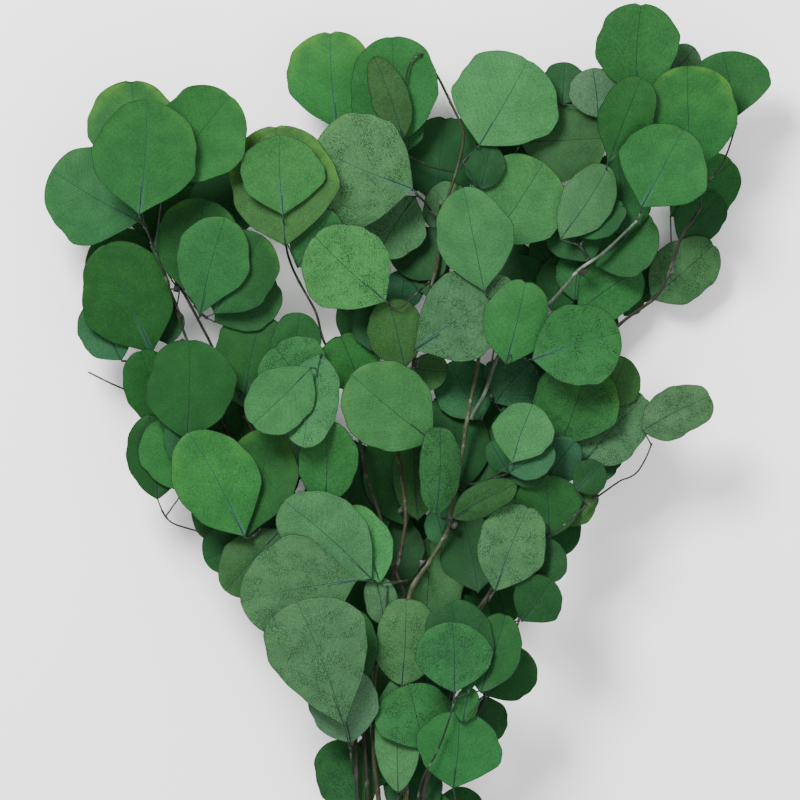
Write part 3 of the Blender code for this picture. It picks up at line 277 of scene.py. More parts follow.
        (374, 752, 386, 655, 62, "round dark")]),
    ("back_low_right", "right_outer_stem", [[(419, 820), (430, 835), (436, 848)]], [
        (428, 822, 400, 752, 60, "round dark"), (436, 850, 430, 790, 46, "round mid"),
        (444, 856, 468, 788, 56, "round deep")]),
]

# Half-width exponents at the leaf's base and tip, and how far its widest place lies towards the tip
leafShapes = {
    "spade": (1.08, 0.52, 1.02),
    "round": (0.82, 0.46, 1.04),
    "obovate": (1.12, 0.46, 1.22),
    "oval": (0.68, 0.50, 1.0),
    "blunt": (0.46, 0.34, 1.0),
    "wedge": (0.56, 0.42, 1.75),
}
rolledLeaf = {"folded": 0.62, "rolled": 0.70}
bladeRings = [0.14, 0.48, 0.84]   # where a leaf's solid has its rings, from its base to its tip

above = 1
below = -1
pile = {side: np.full((mapColumns, mapRows), halfSlab) for side in (above, below)}
stemNear = np.full((mapColumns, mapRows), -1)
slabNear = np.zeros((mapColumns, mapRows), dtype=bool)


def unit(vector):
    return vector / np.linalg.norm(vector)


def leftOf(direction):
    return np.array([-direction[1], direction[0]])


def toMetres(points):
    pixels = np.array(points, dtype=float)
    right = (pixels[:, 0] - photoPixels / 2) * pixel
    up = (photoPixels - pixels[:, 1]) * pixel
    return np.column_stack([right, up])


def smoothRoute(points):
    knots = toMetres(points)
    if len(knots) == 2:
        count = max(2, math.ceil(np.linalg.norm(knots[1] - knots[0]) / cell) + 1)
        return np.linspace(knots[0], knots[1], count)
    slopes = np.gradient(knots, axis=0)
    route = [knots[:1]]
    for first in range(len(knots) - 1):
        start, end = knots[first], knots[first + 1]
        count = max(1, math.ceil(np.linalg.norm(end - start) / cell))
        t = (np.arange(1, count + 1) / count)[:, None]
        route.append((2 * t ** 3 - 3 * t ** 2 + 1) * start + (t ** 3 - 2 * t ** 2 + t) * slopes[first]
                     + (3 * t ** 2 - 2 * t ** 3) * end + (t ** 3 - t ** 2) * slopes[first + 1])
    return np.vstack(route)


def cellsAt(flat):
    columns = np.clip(((flat[..., 0] - mapLeft) / cell).astype(int), 1, mapColumns - 2)
    rows = np.clip(((flat[..., 1] - mapBottom) / cell).astype(int), 1, mapRows - 2)
    return columns, rows


def cellsAround(columns, rows, reach):
    steps = range(-reach, reach + 1)
    return [(columns + across, rows + along) for across in steps for along in steps]


def surfaceNear(side, flat):
    return np.max([pile[side][cells] for cells in cellsAround(*cellsAt(flat), 1)], axis=0)


def raisePile(side, flat, heights):
    for cells in cellsAround(*cellsAt(flat), 1):
        np.maximum.at(pile[side], cells, heights)


def bendsOf(points):
    first, last = points[0], points[-1]
    chord = last - first
    share = np.clip((points - first) @ chord / max(1e-12, chord @ chord), 0, 1)
    away = np.linalg.norm(points - first - np.outer(share, chord), axis=1)
    furthest = int(np.argmax(away))
    if len(points) < 3 or away[furthest] < bendTolerance:
        return [0, len(points) - 1]
    tail = bendsOf(points[furthest:])
    return bendsOf(points[:furthest + 1]) + [furthest + number for number in tail[1:]]


def straightened(points):
    bends = bendsOf(points)
    numbers = np.arange(len(points))
    columns = [np.interp(numbers, bends, points[bends, axis]) for axis in range(3)]
    return np.column_stack(columns), bends


def slid(values, reaches, combine):
    return np.array([combine(values[i - min(i, reach):i + reach + 1]) for i, reach in enumerate(reaches)])


def drape(flat, radius, side, start, end=None):
    surface = surfaceNear(side, flat)
    columns, rows = cellsAt(flat)
    occupied = (surface > halfSlab + 0.0001) | (stemNear[columns, rows] >= 0) | slabNear[columns, rows]
    if end is None:
        occupied[:rootPoints] &= surface[:rootPoints] > start + leastStalk
    bounds = np.where(occupied, surface + radius + layerGap, 0.0)
    gone = np.arange(len(flat))
    left = gone[::-1]
    reaches = np.minimum(climbReach, gone)
    if end is not None:
        reaches = np.minimum(reaches, left)
    heights = slid(slid(bounds, reaches, np.max), np.minimum(softenReach, gone), np.mean)
    lead = min(4.0, (len(flat) - 1) / 2)
    fade = np.maximum(np.minimum(gone / lead, 1.0), occupied & (gone > 0))
    heights = start + (np.maximum(heights, start * 0.5) - start) * fade
    inside = gone > 0
    if end is not None:
        heights = end + (heights - end) * np.minimum(left / lead, 1.0)
        inside[-1] = False
    return np.where(inside, np.maximum(heights, bounds), heights)


def layStems():
    axes = {}
    for number, (name, parent, baseRadius, tipRadius, route) in enumerate(stems):
        flat = smoothRoute(route)
        if parent:
            flat = leaveFrom(axes[parent], flat, baseRadius / 1000)
        radii = np.linspace(baseRadius, tipRadius, len(flat)) / 1000
        columns, rows = cellsAt(flat)
        crossed = stemNear[columns, rows] >= 0
        crossed[:forkPoints] = False
        bounds = np.where(crossed, surfaceNear(above, flat) + radii + layerGap, 0.0)
        reaches = [climbReach] * len(flat)
        heights = slid(slid(bounds, reaches, np.max), reaches, np.mean)
        heights = heights * np.minimum(np.arange(len(flat)) / easeOut, 1.0)
        points, bends = straightened(np.column_stack([flat, heights]))
        raisePile(above, points[:, :2], points[:, 2] + radii)
        raisePile(below, points[:, :2], radii - points[:, 2])
        for cells in cellsAround(columns, rows, 2):
            stemNear[cells] = number
        axes[name] = (points, radii, bends)
    return axes


def leaveFrom(axis, flat, radius):
    points, radii, bends = axis
    nearest = int(np.argmin(np.linalg.norm(points[:, :2] - flat[0], axis=1)))
    if nearest >= len(points) - 2:
        ahead = unit(points[-1, :2] - points[-3, :2])
        fade = np.exp(-np.arange(len(flat)) / easeOut)[:, None]
        return flat + (points[-1, :2] + ahead * seatGap - flat[0]) * fade
    centre = points[nearest, :2]
    sideways = leftOf(unit(points[nearest + 1, :2] - points[nearest - 1, :2]))
    if np.dot(flat[min(onwardPoint + 1, len(flat) - 1)] - centre, sideways) < 0:
        sideways = -sideways
    clearance = radii[nearest] + rootShare * radius + seatGap
    distances = (flat - centre) @ sideways
    inside = 0
    while inside < len(flat) - 2 and distances[inside] < clearance:
        inside += 1
    kept = flat[inside:]
    return np.vstack([np.linspace(centre + sideways * clearance, kept[0], 4)[:-1], kept])


def freeRoot(axis, stemNumber, wanted, onward, side):
    points, radii, bends = axis
    middle = int(np.argmin(np.linalg.norm(points[:, :2] - wanted, axis=1)))
    last = len(points) - 1
    for away in range(rootSearch):
        for nearest in (middle + away, middle - away):
            if nearest < 2 or nearest > last:
                continue
            centre, height = points[nearest, :2], points[nearest, 2]
            after = min(nearest + 1, last)
            tangent = unit(points[after, :2] - points[after - 2, :2])
            sideways = leftOf(tangent)
            toward = 1 if np.dot(onward - centre, sideways) > 0 else -1
            choices = [(sideways * toward, radii[nearest] + rootShare * twigRadius + seatGap)]
            if nearest == last:
                choices.insert(0, (tangent, 2 * seatGap))
            for direction, clearance in choices:
                root = centre + direction * clearance
                cells = cellsAround(*cellsAt(root), 1)
                covered = surfaceNear(side, root) > side * height + radii[nearest] + rootCover
                foreign = any(stemNear[place] not in (-1, stemNumber) for place in cells)
                if not (covered or foreign or any(slabNear[place] for place in cells)):
                    return root, height
    return points[middle, :2], points[middle, 2]


def halfWidth(shape, s):
    base, tip, lean = leafShapes[shape]
    place = np.power(s, lean)
    blend = place * place * (3 - 2 * place)
    return 0.5 * np.power(np.clip(4 * place * (1 - place), 0, 1), base + (tip - base) * blend)


def leafForm(leaf, number, s, v):
    baseX, baseY, tipX, tipY, width, words = leaf
    base, tip = toMetres([(baseX, baseY), (tipX, tipY)])
    length = np.linalg.norm(tip - base)
    along = (tip - base) / length
    reach = halfWidth(words.split()[0], s) * width * pixel * v
    flat = base + np.multiply.outer(s, along) * length + np.multiply.outer(reach, leftOf(along))
    roll = leafSway["roll"] * math.sin(2.4 * number + 0.7)
    for word, steep in rolledLeaf.items():
        if word in words:
            roll = steep
    cup = leafSway["cup"] * math.cos(1.7 * number)
    droop = leafSway["droop"] * (1 + math.sin(3.1 * number))
    twist = leafSway["twist"] * math.sin(4.3 * number)
    heights = roll * reach + cup * reach ** 2 / (0.5 * width * pixel) - droop * length * s ** 2
    heights = heights + twist * reach * (s - 0.4)
    return flat, heights, length


def leafPoints(row, s, v):
    leaf, number, side, base, pitch, petiole = row
    flat, form, length = leafForm(leaf, number, s, v)
    heights = side * (base + pitch * length * s + form)
    return np.concatenate([flat, heights[..., None]], axis=-1)


def layLeaf(leaf, number, side, jointHeight):
    s, v = np.meshgrid(np.linspace(0, 1, 64), np.linspace(-1, 1, 45), indexing="ij")
    flat, form, length = leafForm(leaf, number, s, v)
    needed = pile[side][cellsAt(flat)] + layerGap + leafThickness / 2 - form
    run = s * length
    pitch = leafPitch[0] + leafPitch[1] * math.sin(5.3 * number + 1)
    far = run >= baseReach
    base = max(jointHeight, needed[~far].max())
    pitch = max(pitch, ((needed - base)[far] / run[far]).max())
    pitch = min(pitch, steepestLeaf)
    base += max(0.0, (needed - base - pitch * run).max())
    raisePile(side, flat.reshape(-1, 2), (base + pitch * run + form + leafThickness / 2).ravel())
    return base, pitch


def nearestOn(routes, flatPoint, least=leastStalk, side=None):
    inner = np.vstack([route[:-1] for route in routes])
    distances = np.linalg.norm(inner[:, :2] - flatPoint, axis=1)
    distances[distances < least] += 1.0
    if side:
        covered = surfaceNear(side, inner) > side * inner[:, 2] + twigRadius + layerGap
        distances[covered] += coveredCost
    return inner[int(np.argmin(distances))]


def layPetiole(start, baseFlat, baseHeight, side):
    count = max(3, math.ceil(np.linalg.norm(baseFlat - start[:2]) / cell) + 1)
    flat = np.linspace(start[:2], baseFlat, count)
    heights = drape(flat, petioleRadius, side, side * start[2], baseHeight)
    line = np.linspace(side * start[2], baseHeight, count)
    heights = np.maximum(heights, line - 0.3 * np.abs(baseHeight - side * start[2]))
    points, bends = straightened(np.column_stack([flat, side * heights]))
    raisePile(side, points[:, :2], side * points[:, 2] + petioleRadius)
    return points[bends]


def baseOf(leaf):
    return toMetres([leaf[:2]])[0]


def hangLeaf(sprig, leaf, number, side, start, jointHeight):
    base, pitch = layLeaf(leaf, number, side, jointHeight)
    petiole = layPetiole(start, baseOf(leaf), base, side)
    sprig["leaves"].append([leaf, number, side, base, pitch, petiole])


def layTwig(flat, anchor, blendLength, side):
    fade = np.clip(1 - np.arange(len(flat)) / blendLength, 0, 1)[:, None]
    flat = flat + (anchor[:2] - flat[0]) * fade
    heights = drape(flat, twigRadius, side, side * anchor[2])
    points, bends = straightened(np.column_stack([flat, side * heights]))
    flat, heights = points[:, :2], side * points[:, 2]
    raisePile(side, flat, heights + twigRadius)
    raisePile(-side, flat, twigRadius - heights)
    for cells in cellsAround(*cellsAt(flat[heights < slabEdge]), 1):
        slabNear[cells] = True
    return points, points[bends]


def laySprigs(axes):
    numbers = {name: number for number, name in enumerate(axes)}
    laid = {}
    later = []
    leafCount = 0
    for name, stem, twigs, leaves in sprigs:
        side = below if name.startswith("back") else above
        sprig = laid[name] = {"twigs": [], "leaves": []}
        leafRows = [(leaf, leafCount + index) for index, leaf in enumerate(leaves)]
        leafCount += len(leaves)
        routes = []
        for twig in twigs:
            flat = smoothRoute(twig)
            if routes:
                points, bent = layTwig(flat, nearestOn(routes, flat[0], 0.0), forkBlend, side)
            else:
                onward = flat[min(onwardPoint, len(flat) - 1)]
                anchor = np.append(*freeRoot(axes[stem], numbers[stem], flat[0], onward, side))
                for leaf, number in leafRows:
                    if "first" in leaf[5]:
                        base, pitch = layLeaf(leaf, number, side, 0.0)
                        sprig["leaves"].append([leaf, number, side, base, pitch, None])
                points, bent = layTwig(flat, anchor, max(rootPoints, rootBlend * len(flat)), side)
            routes.append(points)
            sprig["twigs"].append(bent)
        for row in sprig["leaves"]:
            baseFlat = baseOf(row[0])
            row[5] = layPetiole(nearestOn(routes, baseFlat), baseFlat, row[3], side)
        for leaf, number in leafRows:
            if side == above and "below" in leaf[5]:
                later.append((sprig, leaf, number))
            elif "first" not in leaf[5]:
                start = nearestOn(routes, baseOf(leaf), side=side)
                hangLeaf(sprig, leaf, number, side, start, side * start[2])
    for sprig, leaf, number in later:
        hangLeaf(sprig, leaf, number, below, sprig["twigs"][0][0], backLeafHeight)
    return laid


def turned(left, heading):
    return unit(left - heading * (left @ heading))


def leafCorners(row):
    petiole = row[5]
    s, v = np.meshgrid(bladeRings, [1.0, 0.0, -1.0], indexing="ij")
    blade = leafPoints(row, s, v)
    tip = leafPoints(row, np.array([1.0]), np.array([0.0]))
    runs = np.diff(np.vstack([petiole, blade[0, 1]]), axis=0)
    runs /= np.linalg.norm(runs, axis=1)[:, None]
    left = turned(np.array([-runs[0, 1], runs[0, 0], 1e-6]), runs[0])
    corners = []
    for i, centre in enumerate(petiole):
        heading = unit(runs[i] + runs[max(0, i - 1)])
        left = turned(left, heading)
        up = np.cross(heading, left)
        corners += [centre + offset * petioleRadius for offset in (left, up, -left, -up)]
    lift = np.array([0.0, 0.0, leafThickness / 2])
    return np.vstack(corners + [blade[:, 0], blade[:, 2], blade[:, 1] + lift, blade[:, 1] - lift, tip])


def restPlane(points, centre):
    touching = {int(np.argmin(points[:, 2]))}
    for angle in np.linspace(0, 2 * math.pi, 72, endpoint=False):
        for steepness in (0.01, 0.03, 0.05, 0.07, 0.09, 0.12):
            slope = steepness * np.array([math.cos(angle), math.sin(angle)])
            touching.add(int(np.argmin(points[:, 2] - points[:, :2] @ slope)))
    low = points[sorted(touching)]
    best = None
    for three in itertools.combinations(range(len(low)), 3):
        chosen = low[list(three)]
        corners = np.column_stack([chosen[:, :2], np.ones(3)])
        if abs(np.linalg.det(corners)) < 1e-5:
            continue
        if np.linalg.solve(corners.T, np.append(centre, 1.0)).min() < 0.05:
            continue
        plane = np.linalg.solve(corners, chosen[:, 2])
        under = (points[:, 2] - points[:, :2] @ plane[:2] - plane[2]).min()
        if best is None or under > best[0]:
            best = (under, plane)
    return best[1][2], best[1][:2]


# Looks. Colours are red, green and blue in linear light
leafLook = {
    "rows along a leaf": 28,
    "columns across a leaf": 18,
    "thickness": 0.0004,
    "ripple": 0.0004,
    "edge wave": 0.044,
    "tip notch": 0.0016,
    "tip notch width": 0.0022,
    "drawn base": 0.42,
    "drawn base length": 0.08,
    "lopsided": 0.03,
    "midrib bend": 0.022,
    "midrib crease": 0.00035,
    "midrib crease width": 0.0028,
    "tone spread": 0.10,
    "roughness": 0.58,
    "shine": 0.07,
    "relief": 0.00025,
    "sharp rim": 40.0,
    "midrib half-width": (0.36, 0.20),   # in millimetres, at the base and the tip
    "side vein spacing": 4.4,            # in millimetres
    "side vein climb": 0.52,
    "loop from edge": 1.5,               # in millimetres
    "net scale": 0.62,
    "speckle scale": 1.25,
    "yellowed tip": (0.060, 0.170, 0.018),
    "blue bloom": (0.030, 0.085, 0.062),
    "green midrib": (0.005, 0.018, 0.010),
    "blue midrib": (0.010, 0.034, 0.032),
}
# The deep and dark tones are partly the leaves' own darker green and partly painted shade, for leaves that
# lie deep in the pile under others.
leafTones = {
    "light": (0.0220, 0.1000, 0.0270),
    "mid": (0.0130, 0.0730, 0.0180),
    "deep": (0.0070, 0.0455, 0.0100),
    "dark": (0.0080, 0.0430, 0.0120),
    "grey": (0.0300, 0.0850, 0.0330),
    "palegrey": (0.0420, 0.1050, 0.0500),
    "teal": (0.0130, 0.0600, 0.0230),
    "olive": (0.0190, 0.0610, 0.0165),
}
# What a leaf without the word has of its mark: the least, and how much more at most
leafMarks = {"speckled": (0.10, 0.35), "yellow": (0.0, 0.35), "bluerib": (0.0, 0.30)}
stalkLook = {
    "petiole colour": (0.012, 0.026, 0.016),
    "petiole radius": 0.00048,
    "twig colour": (0.012, 0.015, 0.009),
    "twig radius": 0.00072,
    "joint swelling": 0.38,
    "joint reach": 0.0016,
    "powder colour": (0.26, 0.29, 0.24),
    "powder reach": 0.0032,
    "roughness": 0.6,
    "shine": 0.12,
    "relief": 0.0002,
}
# Stems swell at their nodes, which are counted in points along the stem
nodeLook = {"first": (14, 24), "spacing": 26, "swelling": 0.22, "reach": 1.6}
# A stem's colour, and how much powder it has
stemLook = {
    "main_stem": ((0.021, 0.020, 0.010), 0.12),
    "centre_right_stem": ((0.034, 0.042, 0.019), 0.40),
    "centre_stem": ((0.022, 0.024, 0.011), 0.22),
    "right_outer_stem": ((0.012, 0.011, 0.007), 0.12),
    "left_inner_stem": ((0.011, 0.012, 0.007), 0.14),
    "left_outer_stem": ((0.012, 0.013, 0.008), 0.14),
    "right_inner_stem": ((0.044, 0.064, 0.042), 0.75),
    "centre_left_stem": ((0.014, 0.015, 0.009), 0.20),
    "low_right_stem": ((0.013, 0.013, 0.008), 0.14),
}
lightLook = {
    "key power": 160.0,
    "key size": 0.9,
    "key place": (-0.9, 1.5, 2.1),
    "fill power": 25.0,
    "fill size": 2.0,
    "fill place": (0.9, -0.5, 2.4),
    "aimed at": (0.0, 0.05, 0.04),
    "sky": 1.10,
    "floor": 0.92,
}


def setInput(tree, socket, value):
    if isinstance(value, bpy.types.NodeSocket):
        tree.links.new(value, socket)
    elif socket.type == "RGBA":
        socket.default_value = (*value, 1.0)
    else:
        socket.default_value = value


def addNode(tree, kind, inputs=(), **settings):
    node = tree.nodes.new(kind)
    row, column = divmod(len(tree.nodes), 10)
    node.location = (200 * column - 2400, -300 * row)
    for name, value in settings.items():
        setattr(node, name, value)
    for name, value in dict(inputs).items():
        setInput(tree, node.inputs[name], value)
    return node


def maths(tree, operation, *values, clamp=False):
    return addNode(tree, "ShaderNodeMath", enumerate(values), operation=operation, use_clamp=clamp).outputs[0]


def times(tree, first, second):
    return maths(tree, "MULTIPLY", first, second)


def between(tree, value, low, high, bottom=0.0, top=1.0):
    limits = {"Value": value, "From Min": low, "From Max": high, "To Min": bottom, "To Max": top}
    return addNode(tree, "ShaderNodeMapRange", limits, interpolation_type="SMOOTHSTEP").outputs["Result"]


def mixed(tree, factor, first, second):
    return addNode(tree, "ShaderNodeMix", {0: factor, 6: first, 7: second}, data_type="RGBA").outputs[2]


def noiseAt(tree, vector, scale, detail, roughness=0.5):
    settings = {"Vector": vector, "Scale": scale, "Detail": detail, "Roughness": roughness}
    return addNode(tree, "ShaderNodeTexNoise", settings).outputs["Fac"]


def netAt(tree, vector, scale, feature):
    settings = {"Vector": vector, "Scale": scale}
    return addNode(tree, "ShaderNodeTexVoronoi", settings, feature=feature).outputs["Distance"]


def newMaterial(name, roughness, shine):
    material = bpy.data.materials.new(name)
    material.use_nodes = True
    shader = material.node_tree.nodes["Principled BSDF"]
    shader.inputs["Roughness"].default_value = roughness
    shader.inputs["Specular IOR Level"].default_value = shine
    return material, material.node_tree, shader


def addRelief(tree, shader, height, depth):
    bump = addNode(tree, "ShaderNodeBump", {"Strength": 0.5, "Distance": depth, "Height": height})
    tree.links.new(bump.outputs["Normal"], shader.inputs["Normal"])


def makeVeinGroup():
    tree = bpy.data.node_groups.new("leafVeins", "ShaderNodeTree")
    tree.interface.new_socket(name="Place", in_out="INPUT", socket_type="NodeSocketVector")
    tree.interface.new_socket(name="Seed", in_out="INPUT", socket_type="NodeSocketFloat")
    place, seed = addNode(tree, "NodeGroupInput").outputs[:2]
    across, along, edge = addNode(tree, "ShaderNodeSeparateXYZ", {0: place}).outputs
    away = maths(tree, "ABSOLUTE", across)
    point = addNode(tree, "ShaderNodeCombineXYZ", {"X": across, "Y": along, "Z": seed}).outputs[0]
    patterns = {}

    # The midrib wanders, and thins towards the tip
    reach = between(tree, along, 0.0, 60.0, *leafLook["midrib half-width"])
    wander = maths(tree, "SUBTRACT", noiseAt(tree, point, 0.12, 2.0), 0.5)
    ribPlace = maths(tree, "ABSOLUTE", maths(tree, "ADD", across, times(tree, wander, 0.5)))
    midrib = maths(tree, "SUBTRACT", 1.0, maths(tree, "DIVIDE", ribPlace, reach), clamp=True)
    patterns["Midrib"] = between(tree, midrib, 0.0, 0.6)

    # Side veins leave the midrib at an angle, bend towards the tip and meet in a loop along the edge
    climb = times(tree, maths(tree, "POWER", away, 1.15), leafLook["side vein climb"])
    base = maths(tree, "SUBTRACT", along, climb)
    rough = times(tree, noiseAt(tree, point, 0.22, 3.0), 3.4)
    hand = times(tree, maths(tree, "SIGN", across), 1.3)
    wavy = maths(tree, "ADD", maths(tree, "ADD", base, rough), hand)
    turns = maths(tree, "FRACT", maths(tree, "DIVIDE", wavy, leafLook["side vein spacing"]))
    off = maths(tree, "ABSOLUTE", maths(tree, "SUBTRACT", turns, 0.5))
    line = times(tree, between(tree, off, 0.0, 0.075, 1.0, 0.0), between(tree, edge, 0.6, 2.4))
    strength = between(tree, noiseAt(tree, point, 0.5, 1.0), 0.35, 0.65, 0.35, 1.0)
    fromLoop = maths(tree, "ABSOLUTE", maths(tree, "SUBTRACT", edge, leafLook["loop from edge"]))
    loop = between(tree, fromLoop, 0.05, 0.35, 0.55, 0.0)
    patterns["Side veins"] = maths(tree, "MAXIMUM", times(tree, line, strength), loop)

    # The fine net between them, and the ragged dark rim
    net = netAt(tree, point, leafLook["net scale"], "DISTANCE_TO_EDGE")
    patterns["Net"] = between(tree, net, 0.0, 0.09, 1.0, 0.0)
    ragged = maths(tree, "MULTIPLY_ADD", noiseAt(tree, point, 0.7, 2.0), -0.35, edge)
    patterns["Rim"] = between(tree, ragged, 0.05, 0.42, 1.0, 0.0)

    nearRib = between(tree, away, 0.0, 3.0, 1.0, 0.0)
    nearBase = between(tree, along, 3.0, 34.0, 1.0, 0.0)
    patterns["Rib halo"] = times(tree, nearRib, nearBase)
    patterns["Mottle"] = noiseAt(tree, point, 0.55, 5.0, 0.62)
    patterns["Patches"] = noiseAt(tree, point, 0.075, 3.0)

    # Speckles crowd together in places
    radius = between(tree, noiseAt(tree, point, 0.11, 2.0), 0.34, 0.62, 0.16, 0.44)
    spot = maths(tree, "SUBTRACT", radius, netAt(tree, point, leafLook["speckle scale"], "F1"))
    patterns["Speckles"] = between(tree, spot, -0.04, 0.12)
    patterns["Grain"] = noiseAt(tree, point, 1.6, 4.0, 0.7)

    for label in patterns:
        tree.interface.new_socket(name=label, in_out="OUTPUT", socket_type="NodeSocketFloat")
    addNode(tree, "NodeGroupOutput", patterns)
    return tree


def makeLeafMaterial(veins):
    material, tree, shader = newMaterial("preservedLeaf", leafLook["roughness"], leafLook["shine"])
    tone, place, marks, seed = (
        addNode(tree, "ShaderNodeAttribute", attribute_name=name).outputs
        for name in ("leafColour", "leafPlace", "leafMarks", "leafSeed"))
    across, along, edge = addNode(tree, "ShaderNodeSeparateXYZ", {0: place["Vector"]}).outputs
    speckled, yellowed, bloomed = addNode(tree, "ShaderNodeSeparateXYZ", {0: marks["Vector"]}).outputs
    given = {"Place": place["Vector"], "Seed": seed["Fac"]}
    pattern = addNode(tree, "ShaderNodeGroup", given, node_tree=veins).outputs

    shade = between(tree, pattern["Mottle"], 0.3, 0.7, 0.92, 1.08)
    patch = between(tree, pattern["Patches"], 0.3, 0.7, 0.90, 1.10)
    grain = between(tree, pattern["Grain"], 0.32, 0.68, 0.68, 1.30)
    uneven = {0: tone["Color"], "Scale": times(tree, times(tree, shade, patch), grain)}
    colour = addNode(tree, "ShaderNodeVectorMath", uneven, operation="SCALE").outputs[0]

    outer = times(tree, between(tree, along, 22.0, 62.0), between(tree, edge, 0.0, 9.0, 1.0, 0.25))
    ripe = times(tree, times(tree, outer, yellowed), between(tree, pattern["Patches"], 0.35, 0.6, 0.15, 0.60))
    halo = times(tree, pattern["Rib halo"], maths(tree, "MULTIPLY_ADD", bloomed, 0.50, 0.08))
    ribTone = mixed(tree, bloomed, leafLook["green midrib"], leafLook["blue midrib"])
    layers = [
        (ripe, leafLook["yellowed tip"]),
        (halo, leafLook["blue bloom"]),
        (times(tree, pattern["Net"], 0.22), (0.006, 0.024, 0.010)),
        (times(tree, pattern["Side veins"], 0.38), (0.006, 0.026, 0.012)),
        (times(tree, pattern["Midrib"], 0.85), ribTone),
        (times(tree, times(tree, pattern["Speckles"], speckled), 0.85), (0.004, 0.014, 0.006)),
        (times(tree, pattern["Rim"], 0.80), (0.006, 0.016, 0.008)),
    ]
    for share, laidTone in layers:
        colour = mixed(tree, share, colour, laidTone)
    tree.links.new(colour, shader.inputs["Base Color"])

    rough = leafLook["roughness"]
    rough = between(tree, pattern["Mottle"], 0.3, 0.7, rough - 0.06, rough + 0.10)
    tree.links.new(rough, shader.inputs["Roughness"])
    relief = 0.0
    for label, depth in (("Midrib", -0.9), ("Side veins", -0.35), ("Net", -0.12), ("Grain", 0.6)):
        relief = maths(tree, "MULTIPLY_ADD", pattern[label], depth, relief)
    addRelief(tree, shader, relief, leafLook["relief"])
    return material


def makeBark(name, colour, bloom, scale):
    material, tree, shader = newMaterial(name, stalkLook["roughness"], stalkLook["shine"])
    place = addNode(tree, "ShaderNodeTexCoord").outputs["Object"]
    stretched = addNode(tree, "ShaderNodeMapping", {"Vector": place, "Scale": (1.0, 0.22, 1.0)}).outputs[0]
    grain = noiseAt(tree, stretched, 1400.0 * scale, 4.0, 0.6)
    broad = noiseAt(tree, place, 90.0, 3.0)
    dark = tuple(0.45 * part for part in colour)
    light = tuple(1.45 * part for part in colour)
    tone = mixed(tree, between(tree, grain, 0.35, 0.65), dark, light)
    tone = mixed(tree, between(tree, broad, 0.35, 0.65), tone, colour)
    powder = noiseAt(tree, place, 160.0, 3.0)
    joint = addNode(tree, "ShaderNodeAttribute", attribute_name="nodeDust").outputs["Fac"]
    around = times(tree, joint, between(tree, powder, 0.40, 0.60, 0.2, 1.0))
    dusted = times(tree, maths(tree, "MAXIMUM", between(tree, powder, 0.55, 0.72), around), bloom)
    tone = mixed(tree, dusted, tone, stalkLook["powder colour"])
    tree.links.new(tone, shader.inputs["Base Color"])
    addRelief(tree, shader, grain, stalkLook["relief"])
    return material


def choose(*things):
    bpy.ops.object.select_all(action="DESELECT")
    for thing in things:
        thing.select_set(True)
    bpy.context.view_layer.objects.active = things[0]


def linked(name, data):
    holder = bpy.data.objects.new(name, data)
    bpy.context.scene.collection.objects.link(holder)
    return holder


def placesOf(mesh):
    places = np.zeros(len(mesh.vertices) * 3)
    mesh.vertices.foreach_get("co", places)
    return places.reshape(-1, 3)


def store(mesh, name, kind, values):
    key = {"FLOAT": "value", "FLOAT_VECTOR": "vector", "FLOAT_COLOR": "color"}[kind]
    mesh.attributes.new(name, kind, "POINT").data.foreach_set(key, values.ravel())


def placed(points):
    moved = points.copy()
    moved[:, 2] -= restHeight + points[:, :2] @ restSlopes
    moved[:, :2] -= shift
    return moved


def smoothed(points, rounds):
    points = points.copy()
    for _ in range(rounds):
        points[1:-1] = (points[:-2] + 2 * points[1:-1] + points[2:]) / 4
    return points


def evenly(points, step):
    runs = np.linalg.norm(np.diff(points, axis=0), axis=1)
    travelled = np.append(0.0, np.cumsum(runs))
    count = max(3, math.ceil(travelled[-1] / step) + 1)
    wanted = np.linspace(0, travelled[-1], count)
    return np.column_stack([np.interp(wanted, travelled, points[:, axis]) for axis in range(3)])


def makeTube(name, points, radii, sides, material, nodes=()):
    curve = bpy.data.curves.new(name, "CURVE")
    curve.dimensions = "3D"
    curve.bevel_depth = 1.0
    curve.bevel_resolution = sides
    curve.use_fill_caps = True
    spline = curve.splines.new("POLY")
    spline.points.add(len(points) - 1)
    for point, place, radius in zip(spline.points, points, radii):
        point.co = (*place, 1.0)
        point.radius = radius
    choose(linked(name, curve))
    bpy.ops.object.convert(target="MESH")
    tube = bpy.context.view_layer.objects.active
    tube.data.materials.clear()
    tube.data.materials.append(material)
    places = placesOf(tube.data)
    dusty = np.zeros(len(places))
    for node in nodes:
        away = np.linalg.norm(places - node, axis=1)
        dusty = np.maximum(dusty, np.exp(-(away / stalkLook["powder reach"]) ** 2))
    store(tube.data, "nodeDust", "FLOAT", dusty)
    return tube


